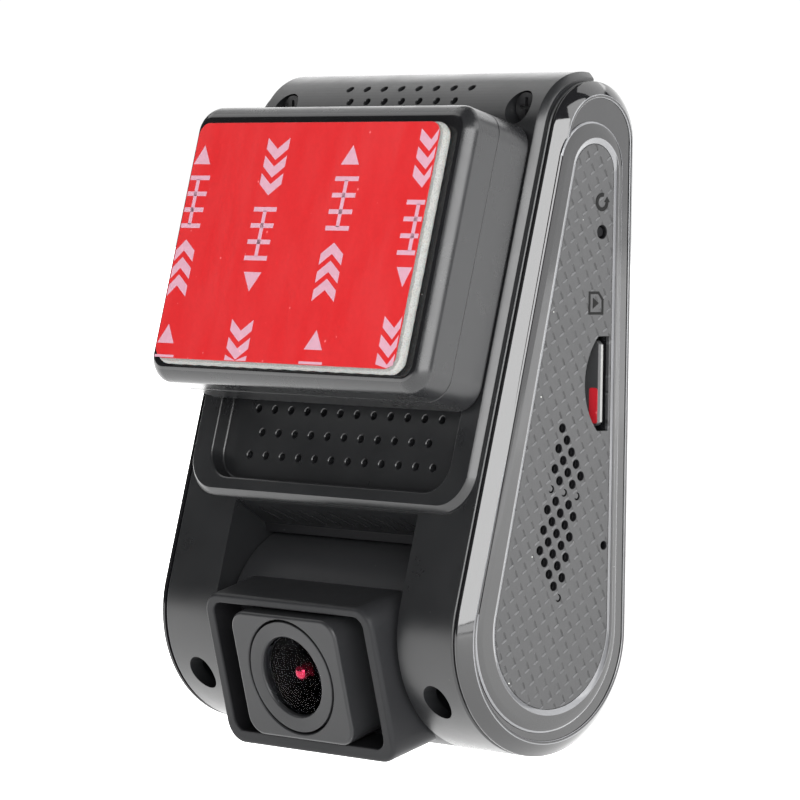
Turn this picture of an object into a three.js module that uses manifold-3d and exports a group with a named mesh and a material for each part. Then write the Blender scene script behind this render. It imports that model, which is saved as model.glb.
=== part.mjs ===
// Dash camera on an adhesive windscreen mount.
//
// Millimetres, +Z up. The origin is the centre of the outer face of the adhesive pad's release liner,
// the face that goes against the windscreen. The lens looks towards -Y, the screen faces +Y, and the
// memory card goes in from +X. The casing is worked out in its own frame, whose origin is where the
// plane of the screen face meets the lowest level of the casing; the camera is moved at the end.

import * as THREE from 'three';
import { mergeVertices } from 'three/addons/utils/BufferGeometryUtils.js';
import Module from 'manifold-3d';

const wasm = await Module();
wasm.setup();

// ---------------------------------------------------------------- driving dimensions

const LOW_RADIUS = 15.73;          // round lower end of the casing, seen from the side
const HIGH_RADIUS = 7.72;          // round upper end
const CASING_HEIGHT = 87.1;
const SLOPE = THREE.MathUtils.degToRad(14.35);   // lean of the front face from upright
const SHELL_HALF = 27.5;           // half width of the two shells
const COVER_INNER = 27.75;         // inner and outer face of a side cover
const COVER_OUTER = 29.75;
const COVER_BEVEL = 1.6;
const INLAY_BACK = 28.95;          // floor of the recess for the inlay
const INLAY_FACE = 29.5;
const WALL = 2.0;                  // shell wall, front and back
const SIDE_WALL = 1.6;
const GAP = 0.2;                   // between pieces that meet
const PARTING = -6.6;              // Y where the front shell ends and the rear shell begins

const RAISED = 1.26;               // how far the upper front stands proud of the lower front
const RAISED_CHAMFER = 0.76;
const RAISED_HALF = 27.03;
const RAISED_BOTTOM = 32.4;        // distances up the slope from here on

const POCKET_HALF = 22.8;          // pocket that takes the foot of the mount
const POCKET_BOTTOM = 34.9;
const POCKET_TOP = 80.5;
const POCKET_FLOOR = -0.97;        // height above the lower front face
const RAIL_INNER = 20.9;
const RAIL_START = 64.0;
const RAIL_UNDERSIDE = 0.25;
const VENT_RADIUS = 0.52;
const HOLE_SIDES = 5;               // the many small holes are kept coarse

const LENS_Y = -15.75;             // lens hinge axis
const LENS_Z = 13.8;
const LENS_TILT = THREE.MathUtils.degToRad(15.1);   // downward look of the lens at rest
const DRUM_RADIUS = 13.75;
const DRUM_HALF = 17.2;
const DRUM_WALL = 1.8;
const WINDOW_HALF = 17.48;         // half width of the gap between the two cheeks
const CHEEK = 1.5;
const TRUNNION_RADIUS = 2.8;
const HOOD_HALF = 16.0;
const HOOD_TOP = 9.9;
const HOOD_BOTTOM = -10.6;
const HOOD_FLOOR = 12.6;           // distances along the lens axis from the hinge axis
const HOOD_FRONT = 17.5;
const PLATE_FRONT = 18.64;

const MOUNT_BOTTOM = 45.4;         // mount block, distances up the slope
const MOUNT_TOP = 83.4;
const MOUNT_HALF = 26.4;
const MOUNT_BACK = 1.6;            // heights above the lower front face
const MOUNT_SEAM = 7.35;
const MOUNT_FRONT = 12.9;
const MOUNT_WALL = 2.0;
const PAD_CENTRE = 64.14;
const PAD_WIDTH = 46.08;
const PAD_HEIGHT = 32.53;
const PAD_FACE = 14.5;
const LINER = 0.12;

const CARD_Y = -6.6;               // memory card
const CARD_Z = 48.0;
const CARD_HEIGHT = 11;
const CARD_LENGTH = 15;
const CARD_THICK = 0.8;
const CARD_INNER = 14.0;           // X of the card's inner end
const SLOT_FRONT = 0.75;           // slot round the card, from its middle plane
const SLOT_REAR = 1.05;
const SLOT_HALF = 6.15;
const SCOOP_RADIUS = 9.0;
const SCOOP_SET = 5.6;             // centre of the scoop behind the card

const BUTTON_Z = 33.0;             // row of buttons under the screen
const BUTTON_PITCH = 9.0;
const BUTTON_COUNT = 5;
const BUTTON_HALF_WIDTH = 3.0;
const BUTTON_HALF_HEIGHT = 1.7;
const BUTTON_PLAY = 0.3;
const STATUS_Z = 38.4;             // row of status lights between the screen and the buttons
const STATUS_PITCH = 9;
const STATUS_COUNT = 3;
const SCREEN_HALF = 23.6;
const SCREEN_LOW = 41.0;
const SCREEN_HIGH = 77.4;

// ---------------------------------------------------------------- frames

const AXIS_X = new THREE.Vector3(1, 0, 0);
const AXIS_Y = new THREE.Vector3(0, 1, 0);
const AXIS_Z = new THREE.Vector3(0, 0, 1);
const UP_SLOPE = new THREE.Vector3(0, Math.sin(SLOPE), Math.cos(SLOPE));
const OFF_SLOPE = new THREE.Vector3(0, -Math.cos(SLOPE), Math.sin(SLOPE));

// The straight front line touches the lower circle, and reaches Z = 0 at this Y when carried down.
const FRONT_FOOT = -LOW_RADIUS * (1 + Math.cos(SLOPE) + Math.sin(SLOPE)) / Math.cos(SLOPE);

const profileFrame = new THREE.Matrix4().makeBasis(AXIS_Y, AXIS_Z, AXIS_X);
const slopeFrame = new THREE.Matrix4()
  .makeBasis(AXIS_X, UP_SLOPE, OFF_SLOPE)
  .setPosition(0, FRONT_FOOT, 0);

// Across, upright, and inwards from the screen face.
const facingBack = new THREE.Matrix4().makeBasis(AXIS_X, AXIS_Z, AXIS_Y.clone().negate());

// ---------------------------------------------------------------- solids

function solid(geometry) {
  geometry.deleteAttribute('normal');
  geometry.deleteAttribute('uv');
  const merged = mergeVertices(geometry, 1e-4);
  const vertProperties = merged.attributes.position.array;
  const triVerts = new Uint32Array(merged.index.array);
  return new wasm.Manifold(new wasm.Mesh({ numProp: 3, vertProperties, triVerts }));
}

function geometryOf(body) {
  const mesh = body.getMesh();
  const geometry = new THREE.BufferGeometry();
  geometry.setAttribute('position', new THREE.BufferAttribute(new Float32Array(mesh.vertProperties), 3));
  geometry.setIndex(new THREE.BufferAttribute(new Uint32Array(mesh.triVerts), 1));
  geometry.computeVertexNormals();
  return geometry;
}

function join(bodies) {
  return bodies.reduce((whole, body) => whole.add(body));
}

function box(x0, x1, y0, y1, z0, z1, frame) {
  const geometry = new THREE.BoxGeometry(x1 - x0, y1 - y0, z1 - z0);
  geometry.translate((x0 + x1) / 2, (y0 + y1) / 2, (z0 + z1) / 2);
  if (frame) geometry.applyMatrix4(frame);
  return solid(geometry);
}

// A round bar along one axis between two levels; `across` are its two other coordinates in order.
function rod(axis, radius, across, from, to, sides = 24, frame) {
  const geometry = new THREE.CylinderGeometry(radius, radius, to - from, sides);
  const middle = (from + to) / 2;
  if (axis === 'x') geometry.rotateZ(-Math.PI / 2).translate(middle, across[0], across[1]);
  if (axis === 'y') geometry.translate(across[0], middle, across[1]);
  if (axis === 'z') geometry.rotateX(Math.PI / 2).translate(across[0], across[1], middle);
  if (frame) geometry.applyMatrix4(frame);
  return solid(geometry);
}

// An outline drawn in XY and carried along Z, with a 45 degree bevel that keeps the outline's size.
function prism(shape, from, to, { bevel = 0, segments = 2, frame } = {}) {
  const geometry = new THREE.ExtrudeGeometry(shape, {
    depth: to - from - 2 * bevel,
    curveSegments: segments,
    bevelEnabled: bevel > 0,
    bevelThickness: bevel,
    bevelSize: bevel,
    bevelOffset: -bevel,
    bevelSegments: 1,
  });
  geometry.translate(0, 0, from + bevel);
  if (frame) geometry.applyMatrix4(frame);
  return solid(geometry);
}

// A side profile, drawn in YZ, carried along X.
function slab(shape, from, to, options = {}) {
  return prism(shape, from, to, { segments: 7, ...options, frame: profileFrame });
}

function roundedRect(x0, x1, y0, y1, radius) {
  const shape = new THREE.Shape();
  const quarter = Math.PI / 2;
  shape.absarc(x1 - radius, y0 + radius, radius, -quarter, 0, false);
  shape.absarc(x1 - radius, y1 - radius, radius, 0, quarter, false);
  shape.absarc(x0 + radius, y1 - radius, radius, quarter, 2 * quarter, false);
  shape.absarc(x0 + radius, y0 + radius, radius, 2 * quarter, 3 * quarter, false);
  shape.closePath();
  return shape;
}

// A drop: two circles that both touch the line Y = rear, wrapped by their common front tangent.
function drop(rear, low, high) {
  const rise = high.z - low.z;
  const back = low.radius - high.radius;
  const lean = Math.atan2(rise, back) + Math.acos(back / Math.hypot(rise, back));
  const shape = new THREE.Shape();
  shape.absarc(rear - low.radius, low.z, low.radius, lean, 2 * Math.PI, false);
  shape.absarc(rear - high.radius, high.z, high.radius, 0, lean, false);
  shape.closePath();
  return shape;
}

function casingOutline(inset) {
  return drop(
    -inset,
    { radius: LOW_RADIUS - inset, z: LOW_RADIUS },
    { radius: HIGH_RADIUS - inset, z: CASING_HEIGHT - HIGH_RADIUS },
  );
}

function polygon(points) {
  return new THREE.Shape(points.map(([x, y]) => new THREE.Vector2(x, y)));
}

// A ring turned about local Z from an outline of [radius, level] pairs.
function turned(points, sides = 32) {
  const closed = [...points, points[0]].map(([radius, level]) => new THREE.Vector2(radius, level));
  const geometry = new THREE.LatheGeometry(closed, sides);
  geometry.rotateX(Math.PI / 2);
  return solid(geometry);
}

function spread(count, pitch) {
  return Array.from({ length: count }, (_, i) => (i - (count - 1) / 2) * pitch);
}

// ---------------------------------------------------------------- scene graph

const camera = new THREE.Group();      // the casing's own frame
const lens = new THREE.Group();        // X along the hinge, Z out along the lens axis
const mount = new THREE.Group();       // Y up the slope, Z out of the windscreen side

lens.position.set(0, LENS_Y, LENS_Z);
lens.rotation.x = Math.PI / 2 + LENS_TILT;
mount.position.set(0, FRONT_FOOT, 0);
mount.rotation.x = Math.PI / 2 - SLOPE;

const FINISH = {
  shell: [0x26272a, 0.62, 0.0],
  gloss: [0x101114, 0.12, 0.0],
  carbon: [0x6d6e72, 0.38, 0.1],
  satin: [0x4a4b50, 0.48, 0.1],
  glass: [0x0a0b12, 0.04, 0.0],
  foam: [0xc9cbc8, 0.9, 0.0],
  liner: [0xe0262c, 0.35, 0.0],
  board: [0x14432c, 0.55, 0.0],
  steel: [0xb4b6ba, 0.32, 1.0],
  aluminium: [0xc8cacc, 0.4, 1.0],
  brass: [0xc9a14a, 0.35, 1.0],
  ceramic: [0xd8cfb8, 0.7, 0.0],
  button: [0x303236, 0.5, 0.0],
  rubber: [0x1c1c1d, 0.85, 0.0],
  light: [0xd7e4ea, 0.25, 0.0],
  plastic: [0x1b1b1e, 0.5, 0.0],
};

function addPart(group, name, body, finish) {
  const [color, roughness, metalness] = FINISH[finish];
  const material = new THREE.MeshStandardMaterial({ color, roughness, metalness });
  const mesh = new THREE.Mesh(geometryOf(body), material);
  mesh.name = name;
  group.add(mesh);
}

// ---------------------------------------------------------------- openings shared by the layers of a side

const RESET = [-7.21, 67.63];
const MICROPHONE = [-5.97, 26.96];
const SPEAKER_START = [-14.03, 42.39];
const SPEAKER_ROW = [0.88, -1.57];
const SPEAKER_COLUMN = [-0.64, -2.6];

function speakerHoles(from, to) {
  const holes = [];
  for (let column = 0; column < 7; column += 1) {
    for (let row = 0; row < 5; row += 1) {
      const centre = [0, 1].map(
        (k) => SPEAKER_START[k] + row * SPEAKER_ROW[k] + column * SPEAKER_COLUMN[k],
      );
      holes.push(rod('x', 0.57, centre, from, to, HOLE_SIDES));
    }
  }
  return join(holes);
}

// Card slot with a thumb scoop on its front side.
function cardSlot(from, to) {
  const [low, high] = [CARD_Z - SLOT_HALF, CARD_Z + SLOT_HALF];
  const slot = box(from, to, CARD_Y - SLOT_FRONT, CARD_Y + SLOT_REAR, low, high);
  const scoop = rod('x', SCOOP_RADIUS, [CARD_Y + SCOOP_SET, CARD_Z], from, to, 32)
    .intersect(box(from, to, CARD_Y - SCOOP_RADIUS, CARD_Y, low, high));
  return slot.add(scoop);
}

const SOCKET_Y = -11.5;
const SOCKET_Z = 62.0;
const SOCKET_HALF_DEPTH = 1.65;
const SOCKET_HALF_HEIGHT = 3.9;
const SOCKET_PLAY = 0.3;

function socketHole(from, to) {
  const deep = SOCKET_HALF_DEPTH + SOCKET_PLAY;
  const high = SOCKET_HALF_HEIGHT + SOCKET_PLAY;
  return box(from, to, SOCKET_Y - deep, SOCKET_Y + deep, SOCKET_Z - high, SOCKET_Z + high);
}

const frontOnly = box(-40, 40, -60, PARTING, -20, 120);
const rearOnly = box(-40, 40, PARTING + GAP, 20, -20, 120);

const casing = slab(casingOutline(0), -SHELL_HALF, SHELL_HALF);
const cavity = slab(casingOutline(WALL), -(SHELL_HALF - SIDE_WALL), SHELL_HALF - SIDE_WALL);

// ---------------------------------------------------------------- case screws and their bosses

const CASE_SCREWS = [
  { x: -22.54, z: 7.4, seat: -19.5, split: -11.9 },
  { x: 22.54, z: 7.4, seat: -19.5, split: -11.9 },
  { x: -22.24, z: 83.6, seat: -12.4, split: -9.7 },
  { x: 22.24, z: 83.6, seat: -12.4, split: -9.7 },
];
const RECESS_RADIUS = 2.18;
const SCREW_HEAD = 1.95;
const SCREW_SHANK = 0.85;
const SCREW_TIP = -4.0;

// ---------------------------------------------------------------- front shell

function raisedFront() {
  const proud = slab(casingOutline(-RAISED), -RAISED_HALF, RAISED_HALF, { bevel: RAISED_CHAMFER });
  const outline = roundedRect(-RAISED_HALF, RAISED_HALF, RAISED_BOTTOM, 130, 5.5);
  const region = prism(outline, -18, RAISED, { bevel: RAISED_CHAMFER, frame: slopeFrame });
  return proud.intersect(region);
}

function pocket() {
  const outline = roundedRect(-POCKET_HALF, POCKET_HALF, POCKET_BOTTOM, POCKET_TOP, 4);
  return prism(outline, POCKET_FLOOR, 6, { frame: slopeFrame });
}

function pocketRails() {
  return join([-1, 1].map((side) => {
    const inner = side * RAIL_INNER;
    const outer = side * (POCKET_HALF + 0.3);
    return box(
      Math.min(inner, outer), Math.max(inner, outer),
      RAIL_START, POCKET_TOP + 0.3, RAIL_UNDERSIDE, RAISED, slopeFrame,
    );
  }));
}

function pocketVents() {
  const holes = [];
  [[44.8, 12], [41.6, 11], [38.45, 12]].forEach(([level, count]) => {
    spread(count, 3.19).forEach((x) => {
      holes.push(rod('z', VENT_RADIUS, [x, level], -3.5, 0.5, HOLE_SIDES, slopeFrame));
    });
  });
  return join(holes);
}

function topVents() {
  const holes = [];
  [[50, 8], [35, 7]].forEach(([lift, count]) => {
    const frame = new THREE.Matrix4()
      .makeRotationX(Math.PI / 2 - THREE.MathUtils.degToRad(lift))
      .setPosition(0, -HIGH_RADIUS, CASING_HEIGHT - HIGH_RADIUS);
    spread(count, 3.31).forEach((x) => holes.push(rod('z', VENT_RADIUS, [x, 0], 4, 12, HOLE_SIDES, frame)));
  });
  return join(holes);
}

// The gap that the lens drum turns in: a sloping ceiling above, open in front and below.
function lensWindow() {
  const mouth = polygon([
    [-60, 31.1], [-60, -10], [-15, -10], [-15, 20], [-22.35, 26.6], [-22.6, 27.8], [-28.0, 31.1],
  ]);
  return join([
    slab(mouth, -WINDOW_HALF, WINDOW_HALF),
    drumClearance(),
    box(-WINDOW_HALF, WINDOW_HALF, -60, PARTING + 1, -10, 7),
  ]);
}

function drumClearance() {
  return rod('x', DRUM_RADIUS + 0.4, [LENS_Y, LENS_Z], -WINDOW_HALF, WINDOW_HALF, 40);
}

function cheeksAndCeiling() {
  const walls = [-1, 1].map((side) => {
    const inner = side * WINDOW_HALF;
    const outer = side * (WINDOW_HALF + CHEEK);
    const below = box(Math.min(inner, outer), Math.max(inner, outer), -60, PARTING, -5, 32.6);
    return slab(casingOutline(0.2), -26, 26).intersect(below);
  });
  const ceiling = slab(polygon([
    [-27.9, 31.0], [-22.6, 27.8], [-22.35, 26.6], [-20.9, 27.4], [-21.3, 29.4], [-24.9, 32.2],
    [-24.9, 33.2], [-26.8, 33.2],
  ]), -(WINDOW_HALF + CHEEK), WINDOW_HALF + CHEEK);
  return join([...walls, ceiling]);
}

function frontShell() {
  const bosses = join(CASE_SCREWS.map(({ x, z, split }) => rod('y', 3.2, [x, z], -40, split, 12)))
    .intersect(slab(casingOutline(0.3), -26, 26));
  const added = join([cheeksAndCeiling(), bosses]);
  let shell = casing.add(raisedFront()).intersect(frontOnly);
  shell = shell.subtract(cavity).add(added).subtract(pocket()).add(pocketRails());
  const cuts = [
    lensWindow(),
    pocketVents(),
    topVents(),
    speakerHousing(),
    cardSlot(24, 30),
    socketHole(-30, -24),
    rod('x', 1.1, RESET, 24, 30, 12),
    box(-6.2, 6.2, 73.2, 79.2, -4, 0, slopeFrame),
    rod('x', TRUNNION_RADIUS + 0.25, [LENS_Y, LENS_Z], -20, 20, 24),
  ];
  CASE_SCREWS.forEach(({ x, z, seat }) => {
    cuts.push(rod('y', RECESS_RADIUS, [x, z], -60, seat, 16));
    cuts.push(rod('y', SCREW_SHANK + 0.2, [x, z], seat - 1, 0, 8));
  });
  return shell.subtract(join(cuts));
}

function speakerHousing() {
  return box(24, 30, -18.8, -9.9, 19.6, 43.3);
}

// ---------------------------------------------------------------- rear shell

function rearShell() {
  const room = slab(casingOutline(0.3), -26, 26).intersect(rearOnly);
  const roomInFront = slab(casingOutline(WALL + GAP), -25.6, 25.6);
  const bosses = join(CASE_SCREWS.map(({ x, z, split }) => rod('y', 2.6, [x, z], split + GAP, 0, 12)))
    .intersect(room.add(roomInFront));
  const shell = casing.intersect(rearOnly).subtract(cavity).add(bosses);
  const cuts = [
    box(-SCREEN_HALF, SCREEN_HALF, -0.9, 1, SCREEN_LOW, SCREEN_HIGH),
    box(-21, 21, -5, 1, 43.5, 75),
    drumClearance(),
    box(-WINDOW_HALF, WINDOW_HALF, -10, -4.5, -5, 12),
    cardSlot(24, 30),
    rod('x', 1.1, RESET, 24, 30, 12),
    rod('x', 0.7, MICROPHONE, 24, 30, 8),
  ];
  spread(BUTTON_COUNT, BUTTON_PITCH).forEach((x) => {
    cuts.push(prism(
      buttonOutline(x, BUTTON_PLAY, 0.9), -1, 5, { frame: facingBack },
    ));
  });
  spread(STATUS_COUNT, STATUS_PITCH).forEach((x) => {
    cuts.push(rod('y', 0.9, [x, STATUS_Z], -4, 1, 10));
  });
  CASE_SCREWS.forEach(({ x, z }) => {
    cuts.push(rod('y', SCREW_SHANK + 0.15, [x, z], -14, SCREW_TIP + 0.5, 8));
  });
  return shell.subtract(join(cuts));
}

function buttonOutline(x, play, radius) {
  const across = BUTTON_HALF_WIDTH + play;
  const up = BUTTON_HALF_HEIGHT + play;
  return roundedRect(x - across, x + across, BUTTON_Z - up, BUTTON_Z + up, radius);
}

// ---------------------------------------------------------------- side covers and inlays

function sideCover(side) {
  const outline = casingOutline(0);
  const depth = COVER_OUTER - COVER_INNER;
  const block = slab(outline, COVER_OUTER - 3 * depth, COVER_OUTER, { bevel: COVER_BEVEL });
  const half = block.intersect(box(COVER_INNER, 40, -60, 20, -20, 120));
  const recess = slab(inlayOutline(-0.15), INLAY_BACK, 40);
  const cover = half.subtract(recess);
  return side > 0 ? cover.subtract(rightOpenings()) : mirrored(cover).subtract(socketHole(-40, -20));
}

function inlayOutline(inset) {
  return drop(
    -5.1 - inset,
    { radius: 10.3 - inset, z: 16.5 },
    { radius: 3.6 - inset, z: 75.4 },
  );
}

function sideInlay(side) {
  const inlay = slab(inlayOutline(0), INLAY_BACK + 0.08, INLAY_FACE);
  return side > 0 ? inlay.subtract(rightOpenings()) : mirrored(inlay).subtract(socketHole(-40, -20));
}

function rightOpenings() {
  return join([
    cardSlot(20, 40),
    speakerHoles(20, 40),
    rod('x', 0.85, RESET, 20, 40, 12),
    rod('x', 0.6, MICROPHONE, 20, 40, 8),
  ]);
}

function mirrored(body) {
  const geometry = geometryOf(body);
  geometry.scale(-1, 1, 1);
  const index = geometry.index.array;
  for (let i = 0; i < index.length; i += 3) {
    [index[i], index[i + 1]] = [index[i + 1], index[i]];
  }
  return solid(geometry);
}

// ---------------------------------------------------------------- casing pieces

addPart(camera, 'front_shell', frontShell(), 'shell');
addPart(camera, 'rear_shell', rearShell(), 'shell');
addPart(camera, 'right_cover', sideCover(1), 'gloss');
addPart(camera, 'left_cover', sideCover(-1), 'gloss');
addPart(camera, 'right_inlay', sideInlay(1), 'carbon');
addPart(camera, 'left_inlay', sideInlay(-1), 'carbon');

// ---------------------------------------------------------------- screen, buttons and electronics

const LCD_BACK = -4.6;
const BOARD_FRONT = -9.6;
const BOARD_BACK = -8.4;

function displayWindow() {
  const outline = roundedRect(
    -SCREEN_HALF + 0.15, SCREEN_HALF - 0.15, SCREEN_LOW + 0.15, SCREEN_HIGH - 0.15, 0.6,
  );
  return prism(outline, 0.05, 0.8, { bevel: 0.15, frame: facingBack });
}

// Two stepped sides: a cap that shows and a flange that stops it behind the wall.
function pushButton(x) {
  const cap = prism(buttonOutline(x, 0, 0.7), -0.55, 2.6, { bevel: 0.2, frame: facingBack });
  const across = BUTTON_HALF_WIDTH + 0.9;
  const up = BUTTON_HALF_HEIGHT + 0.7;
  const flange = box(x - across, x + across, -3.3, -2.3, BUTTON_Z - up, BUTTON_Z + up);
  return cap.add(flange);
}

function mainBoard() {
  const board = box(-24.2, 24.2, BOARD_FRONT, BOARD_BACK, 33.4, 79.5);
  const chips = [[-17, 52, 3.2], [-5, 60, 3.0], [14, 66, 2.6]].map(([x, z, half]) => (
    box(x - half, x + half, BOARD_BACK - 0.1, BOARD_BACK + 1.2, z - half, z + half)
  ));
  return join([board, ...chips]);
}

function keyBoard() {
  const board = box(-22.6, 22.6, -5.6, -4.6, 29.6, 36.6);
  const switches = spread(BUTTON_COUNT, BUTTON_PITCH).map((x) => (
    box(x - 1.6, x + 1.6, -4.7, -3.8, BUTTON_Z - 1.6, BUTTON_Z + 1.6)
  ));
  return join([board, ...switches]);
}

function cardSocket() {
  const shell = box(10.6, 25.4, -8.2, -5.1, CARD_Z - 7.2, CARD_Z + 7.2);
  const mouth = box(11.2, 30, CARD_Y - 0.7, CARD_Y + 0.7, CARD_Z - 5.8, CARD_Z + 5.8);
  return shell.subtract(mouth);
}

// The card's outer edge stands just inside the side face; it is pushed in a little further to let go.
function memoryCard() {
  const inner = CARD_INNER;
  const outer = inner + CARD_LENGTH;
  const half = CARD_HEIGHT / 2;
  const outline = polygon([
    [inner, CARD_Z - half], [outer, CARD_Z - half], [outer, CARD_Z + half], [inner + 6, CARD_Z + half],
    [inner + 5, CARD_Z + half - 0.9], [inner, CARD_Z + half - 0.9],
  ]);
  const face = -CARD_Y - CARD_THICK / 2;
  return prism(outline, face, face + CARD_THICK, { frame: facingBack });
}

function powerSocket() {
  const [deep, high] = [SOCKET_HALF_DEPTH, SOCKET_HALF_HEIGHT];
  const shell = box(-29.0, -20.5, SOCKET_Y - deep, SOCKET_Y + deep, SOCKET_Z - high, SOCKET_Z + high);
  const mouth = box(-40, -21.2, SOCKET_Y - 1.3, SOCKET_Y + 1.3, SOCKET_Z - 3.5, SOCKET_Z + 3.5);
  const tongue = box(-27.6, -20.8, SOCKET_Y - 0.4, SOCKET_Y + 0.4, SOCKET_Z - 2.6, SOCKET_Z + 2.6);
  return shell.subtract(mouth).add(tongue);
}

function supercapacitor(from, to) {
  const can = rod('x', 4.3, [-15.6, 37.9], from, to, 20);
  return can.add(rod('x', 3.6, [-15.6, 37.9], to - 0.1, to + 0.5, 20));
}

function caseScrew({ x, z, seat }) {
  const head = rod('y', SCREW_HEAD, [x, z], seat - 1.7, seat - 0.1, 16);
  const shank = rod('y', SCREW_SHANK, [x, z], seat - 0.2, SCREW_TIP, 8);
  const cross = [[1.3, 0.25], [0.25, 1.3]].map(([a, b]) => (
    box(x - a, x + a, seat - 3, seat - 1.0, z - b, z + b)
  ));
  return head.add(shank).subtract(join(cross));
}

function heatSpreader() {
  const plate = box(-17, 17, -11.2, -10.0, 46, 74);
  const fins = spread(7, 4.6).map((x) => box(x - 0.7, x + 0.7, -13.4, -11.1, 47, 73));
  return join([plate, ...fins]);
}

addPart(camera, 'display_window', displayWindow(), 'glass');
addPart(camera, 'display_panel', box(-23.2, 23.2, LCD_BACK, -2.2, 42.2, 76.2), 'plastic');
addPart(camera, 'main_board', mainBoard(), 'board');
addPart(camera, 'key_board', keyBoard(), 'board');
addPart(camera, 'heat_spreader', heatSpreader(), 'aluminium');
addPart(camera, 'supercapacitor_1', supercapacitor(-20.5, -2.0), 'steel');
addPart(camera, 'supercapacitor_2', supercapacitor(1.0, 19.5), 'steel');
addPart(camera, 'speaker', box(21.6, 25.6, -18.6, -10.2, 24, 40.5), 'plastic');
addPart(camera, 'microphone', rod('x', 2.0, MICROPHONE, 22.6, 25.6, 16), 'steel');
addPart(camera, 'card_socket', cardSocket(), 'steel');
addPart(camera, 'power_socket', powerSocket(), 'steel');
CASE_SCREWS.forEach((screw, i) => addPart(camera, `case_screw_${i + 1}`, caseScrew(screw), 'steel'));
spread(STATUS_COUNT, STATUS_PITCH).forEach((x, i) => {
  addPart(camera, `status_light_${i + 1}`, rod('y', 0.75, [x, STATUS_Z], -3.2, 0.05, 10), 'light');
});
spread(BUTTON_COUNT, BUTTON_PITCH).forEach((x, i) => {
  addPart(camera, `button_${i + 1}`, pushButton(x), 'button');
});

const resetPlunger = rod('x', 0.62, RESET, 24.9, 29.1, 12).add(rod('x', 1.1, RESET, 24.8, 25.6, 16));
addPart(camera, 'reset_button', resetPlunger, 'plastic');
addPart(camera, 'memory_card', memoryCard(), 'plastic');

// Gold contacts in the pocket floor that meet the pins of the mount.
const contactPlate = box(-6, 6, 73.4, 79, POCKET_FLOOR - 0.9, POCKET_FLOOR - 0.05, slopeFrame);
addPart(camera, 'contact_plate', contactPlate, 'brass');

// ---------------------------------------------------------------- lens unit

const LENS_CELL_RADIUS = 6.0;
const LENS_CELL_BORE = 4.6;

function lensDrum() {
  const hood = prism(roundedRect(-HOOD_HALF, HOOD_HALF, HOOD_BOTTOM, HOOD_TOP, 3), 3, HOOD_FRONT);
  const trunnions = [-1, 1].map((side) => {
    const ends = [side * (DRUM_HALF - 1), side * 20.2].sort((a, b) => a - b);
    return rod('x', TRUNNION_RADIUS, [0, 0], ...ends, 24);
  });
  const body = join([rod('x', DRUM_RADIUS, [0, 0], -DRUM_HALF, DRUM_HALF, 40), hood, ...trunnions]);
  const hollow = rod('x', DRUM_RADIUS - DRUM_WALL, [0, 0], -15.6, 15.6, 32);
  const mouth = prism(roundedRect(-14.3, 14.3, -9.04, 8.9, 1.6), HOOD_FLOOR, 20);
  const washers = [-1, 1].map((side) => {
    const ends = [side * 16.6, side * 18].sort((a, b) => a - b);
    return rod('x', 5.8, [0, 0], ...ends, 24).subtract(rod('x', TRUNNION_RADIUS, [0, 0], ...ends, 24));
  });
  const cuts = [hollow, mouth, ...washers, rod('z', 6.3, [0, 0], 3, 14, 32), rod('x', 1.6, [0, 0], -25, 25, 16)];
  return body.subtract(join(cuts)).subtract(rearHatch(0.15));
}

// The curved hatch at the back of the drum, through which the sensor goes in.
function rearHatch(clearance) {
  const ring = rod('x', DRUM_RADIUS + clearance, [0, 0], -13 - clearance, 13 + clearance, 40)
    .subtract(rod('x', DRUM_RADIUS - DRUM_WALL - clearance, [0, 0], -20, 20, 32));
  return ring.intersect(box(-20, 20, -9 - clearance, 9 + clearance, -20, -5));
}

function lensPlate() {
  const block = prism(roundedRect(-10, 10, -8.7, 8.4, 2.6), HOOD_FLOOR + 0.3, PLATE_FRONT, { bevel: 0.3 });
  return block.subtract(rod('z', 7.9, [0, 0], 10, 25, 32));
}

function lensHolder() {
  const base = box(-8, 8, -8, 8, -2.2, 4.5);
  const bore = rod('z', LENS_CELL_RADIUS + 0.15, [0, 0], 0.6, 6, 32);
  const seat = box(-5.2, 5.2, -5.2, 5.2, -3, 0.7);
  return base.subtract(bore).subtract(seat);
}

addPart(lens, 'lens_drum', lensDrum(), 'satin');
addPart(lens, 'drum_hatch', rearHatch(0), 'satin');
addPart(lens, 'lens_plate', lensPlate(), 'satin');
addPart(lens, 'lens_ring', turned([[5.45, 15.4], [7.6, 15.4], [7.6, 18.6], [5.6, 18.42], [5.45, 18.2]]), 'satin');
addPart(lens, 'lens_cell', turned([
  [LENS_CELL_BORE, 0.9], [LENS_CELL_RADIUS, 0.9], [LENS_CELL_RADIUS, 15.2], [LENS_CELL_BORE, 15.2],
]), 'plastic');
addPart(lens, 'front_glass', turned([
  [0, 16.2], [5.3, 16.2], [5.3, 17.9], [4.2, 18.25], [2.4, 18.5], [0, 18.6],
]), 'glass');
addPart(lens, 'inner_lens', turned([
  [0, 12.6], [4.45, 13.4], [4.45, 14.4], [2.4, 15.0], [0, 15.2],
], 24), 'glass');
addPart(lens, 'infrared_filter', rod('z', 4.4, [0, 0], 1.2, 1.9, 24), 'glass');
addPart(lens, 'lens_holder', lensHolder(), 'plastic');
addPart(lens, 'image_sensor', box(-4, 4, -3.4, 3.4, -2.1, -0.6), 'ceramic');
addPart(lens, 'sensor_board', box(-9, 9, -9, 9, -3.6, -2.4), 'board');
[['left', -1], ['right', 1]].forEach(([name, side]) => {
  const ends = [side * 16.7, side * 17.35].sort((a, b) => a - b);
  const washer = rod('x', 5.5, [0, 0], ...ends, 24).subtract(rod('x', 3.1, [0, 0], ...ends, 24));
  addPart(lens, `friction_washer_${name}`, washer, 'rubber');
});

// ---------------------------------------------------------------- mount

const FOOT_TOP = POCKET_TOP - 0.3;
const MOUNT_SCREWS = [[-22.9, 49.2], [22.9, 49.2], [-22.9, 79.6], [22.9, 79.6]];

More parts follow.
